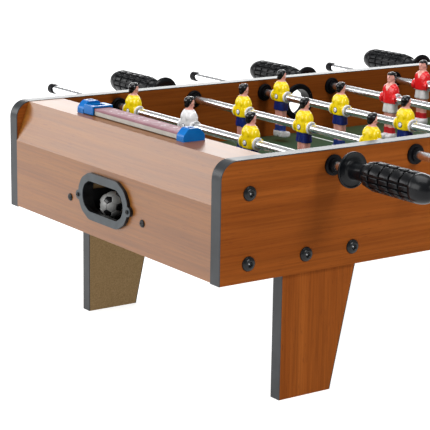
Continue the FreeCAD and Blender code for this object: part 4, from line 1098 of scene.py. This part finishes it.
ticks = Recipe("scorer_ticks", {
    "Tick": ("Object", None), "Count": ("Int", 10), "Start": ("Vector", None), "Step": ("Vector", None),
    "Finish": ("Material", None)})
tick_number = ticks.add("GeometryNodeInputIndex").outputs[0]
tick_offset = ticks.add("ShaderNodeVectorMath", {0: ticks.given["Step"], "Scale": tick_number},
                        operation="SCALE").outputs[0]
tick_place = ticks.add("ShaderNodeVectorMath", {0: ticks.given["Start"], 1: tick_offset},
                       operation="ADD").outputs[0]
tick_points = ticks.add("GeometryNodePoints", {"Count": ticks.given["Count"], "Position": tick_place})
tick_copies = ticks.add("GeometryNodeInstanceOnPoints", {
    "Points": tick_points.outputs[0],
    "Instance": ticks.add("GeometryNodeObjectInfo", {"Object": ticks.given["Tick"]}).outputs["Geometry"]})
ticks.finish(tick_copies.outputs[0], ticks.given["Finish"])


def run_along(section, start, end):
    """A closed section of (x, z) points run along Y."""
    count = len(section)
    points = [(x, y, z) for y in (start, end) for x, z in section]
    faces = [(index, count + index, count + (index + 1) % count, (index + 1) % count)
             for index in range(count)]
    return np.array(points), faces + [tuple(range(count)), tuple(reversed(range(count, 2 * count)))]


def numeral(text, high):
    """One numeral as a thin closed mesh centred on the origin, reading along X."""
    curve = bpy.data.curves.new("numeral", "FONT")
    curve.body, curve.size, curve.extrude = text, high, PRINT_HIGH * MM
    curve.align_x, curve.align_y = "CENTER", "CENTER"
    curve.resolution_u = 4
    return numbers_of(evaluated(stand("numeral", curve)))


for bar_low, bar_high in solids_of("score_bars"):
    end = "left" if bar_high[0] < 0 else "right"
    side = -1 if end == "left" else 1
    middle_x, half_x = (bar_low[0] + bar_high[0]) / 2, (bar_high[0] - bar_low[0]) / 2
    foot, seam = bar_low[2], bar_high[2] - CAP_THICK * MM
    strip_top, soft, inset = bar_high[2] - 2 * PRINT_HIGH * MM, CAP_SOFT * MM, CAP_INSET * MM
    under = half_x - inset
    body = [(-under, foot), (under, foot), (under, seam), (-under, seam)]
    near_half = [(under, seam), (half_x, seam + inset), (half_x, strip_top - soft),
                 (half_x - soft * SOFT_SHARE, strip_top - soft * SOFT_SHARE), (half_x - soft, strip_top)]
    far_half = [(-x, z) for x, z in reversed(near_half)]
    bar_and_cap = [run_along([(x + middle_x, z) for x, z in section], bar_low[1], bar_high[1])
                   for section in (body, [far_half[-1], *near_half, *far_half[:-1]])]
    step, middle_y = (bar_high[1] - bar_low[1]) / COUNTS, (bar_low[1] + bar_high[1]) / 2
    # the text's right is side * Y and its top is -side * X, for a reader beyond that end
    read = np.array([(0, -side, 0), (side, 0, 0), (0, 0, 1)])
    figures = [placed(numeral(str(count), half_x * NUMERAL_SHARE), read,
                      (middle_x, middle_y + side * step * (count - COUNTS // 2), strip_top))
               for count in range(COUNTS)]
    tick_section = [(x * half_x * TICK_SHARE, z * PRINT_HIGH * MM)
                    for x, z in ((-1, -1), (1, -1), (1, 1), (-1, 1))]
    tick = mesh_object("tick_single", *run_along(tick_section, -TICK_HALF * MM, TICK_HALF * MM), [])
    carrier = mesh_object("tick_carrier", [(0, 0, 0)], [], [print_white])
    tick_mesh = ticks.run(carrier, {
        "Tick": tick, "Count": COUNTS - 1, "Start": (middle_x, bar_low[1] + step, strip_top),
        "Step": (0.0, step, 0.0), "Finish": print_white.material})
    bpy.data.objects.remove(tick)
    groups = [*bar_and_cap, *figures, numbers_of(tick_mesh)]
    tones = [min(order, 2) for order, (_, faces) in enumerate(groups) for _ in faces]
    points, faces = joined(*groups)
    bar = mesh_object(f"{end}_scorer", points, faces, [bar_cream, strip_mauve, print_white], smooth=False,
                      face_finish=tones)
    fitted(bar, "root", ["score_bars"] if end == "left" else [])

# %% [markdown]
# ## Floor
# The floor is pale and glows a little, so that it reads as the white paper of a catalogue.

# %% Floor
FLOOR_HALF = 12.0
floor_finish = Finish("pale_floor", roughness=0.8, color=(0.45, 0.45, 0.45))
floor_finish.shader.inputs["Emission Color"].default_value = (1.0, 1.0, 1.0, 1.0)
floor_finish.shader.inputs["Emission Strength"].default_value = 0.86
floor = mesh_object("studio_floor", [
    (x * FLOOR_HALF, y * FLOOR_HALF, 0) for x, y in ((-1, -1), (1, -1), (1, 1), (-1, 1))],
    [(0, 1, 2, 3)], [floor_finish], smooth=False)
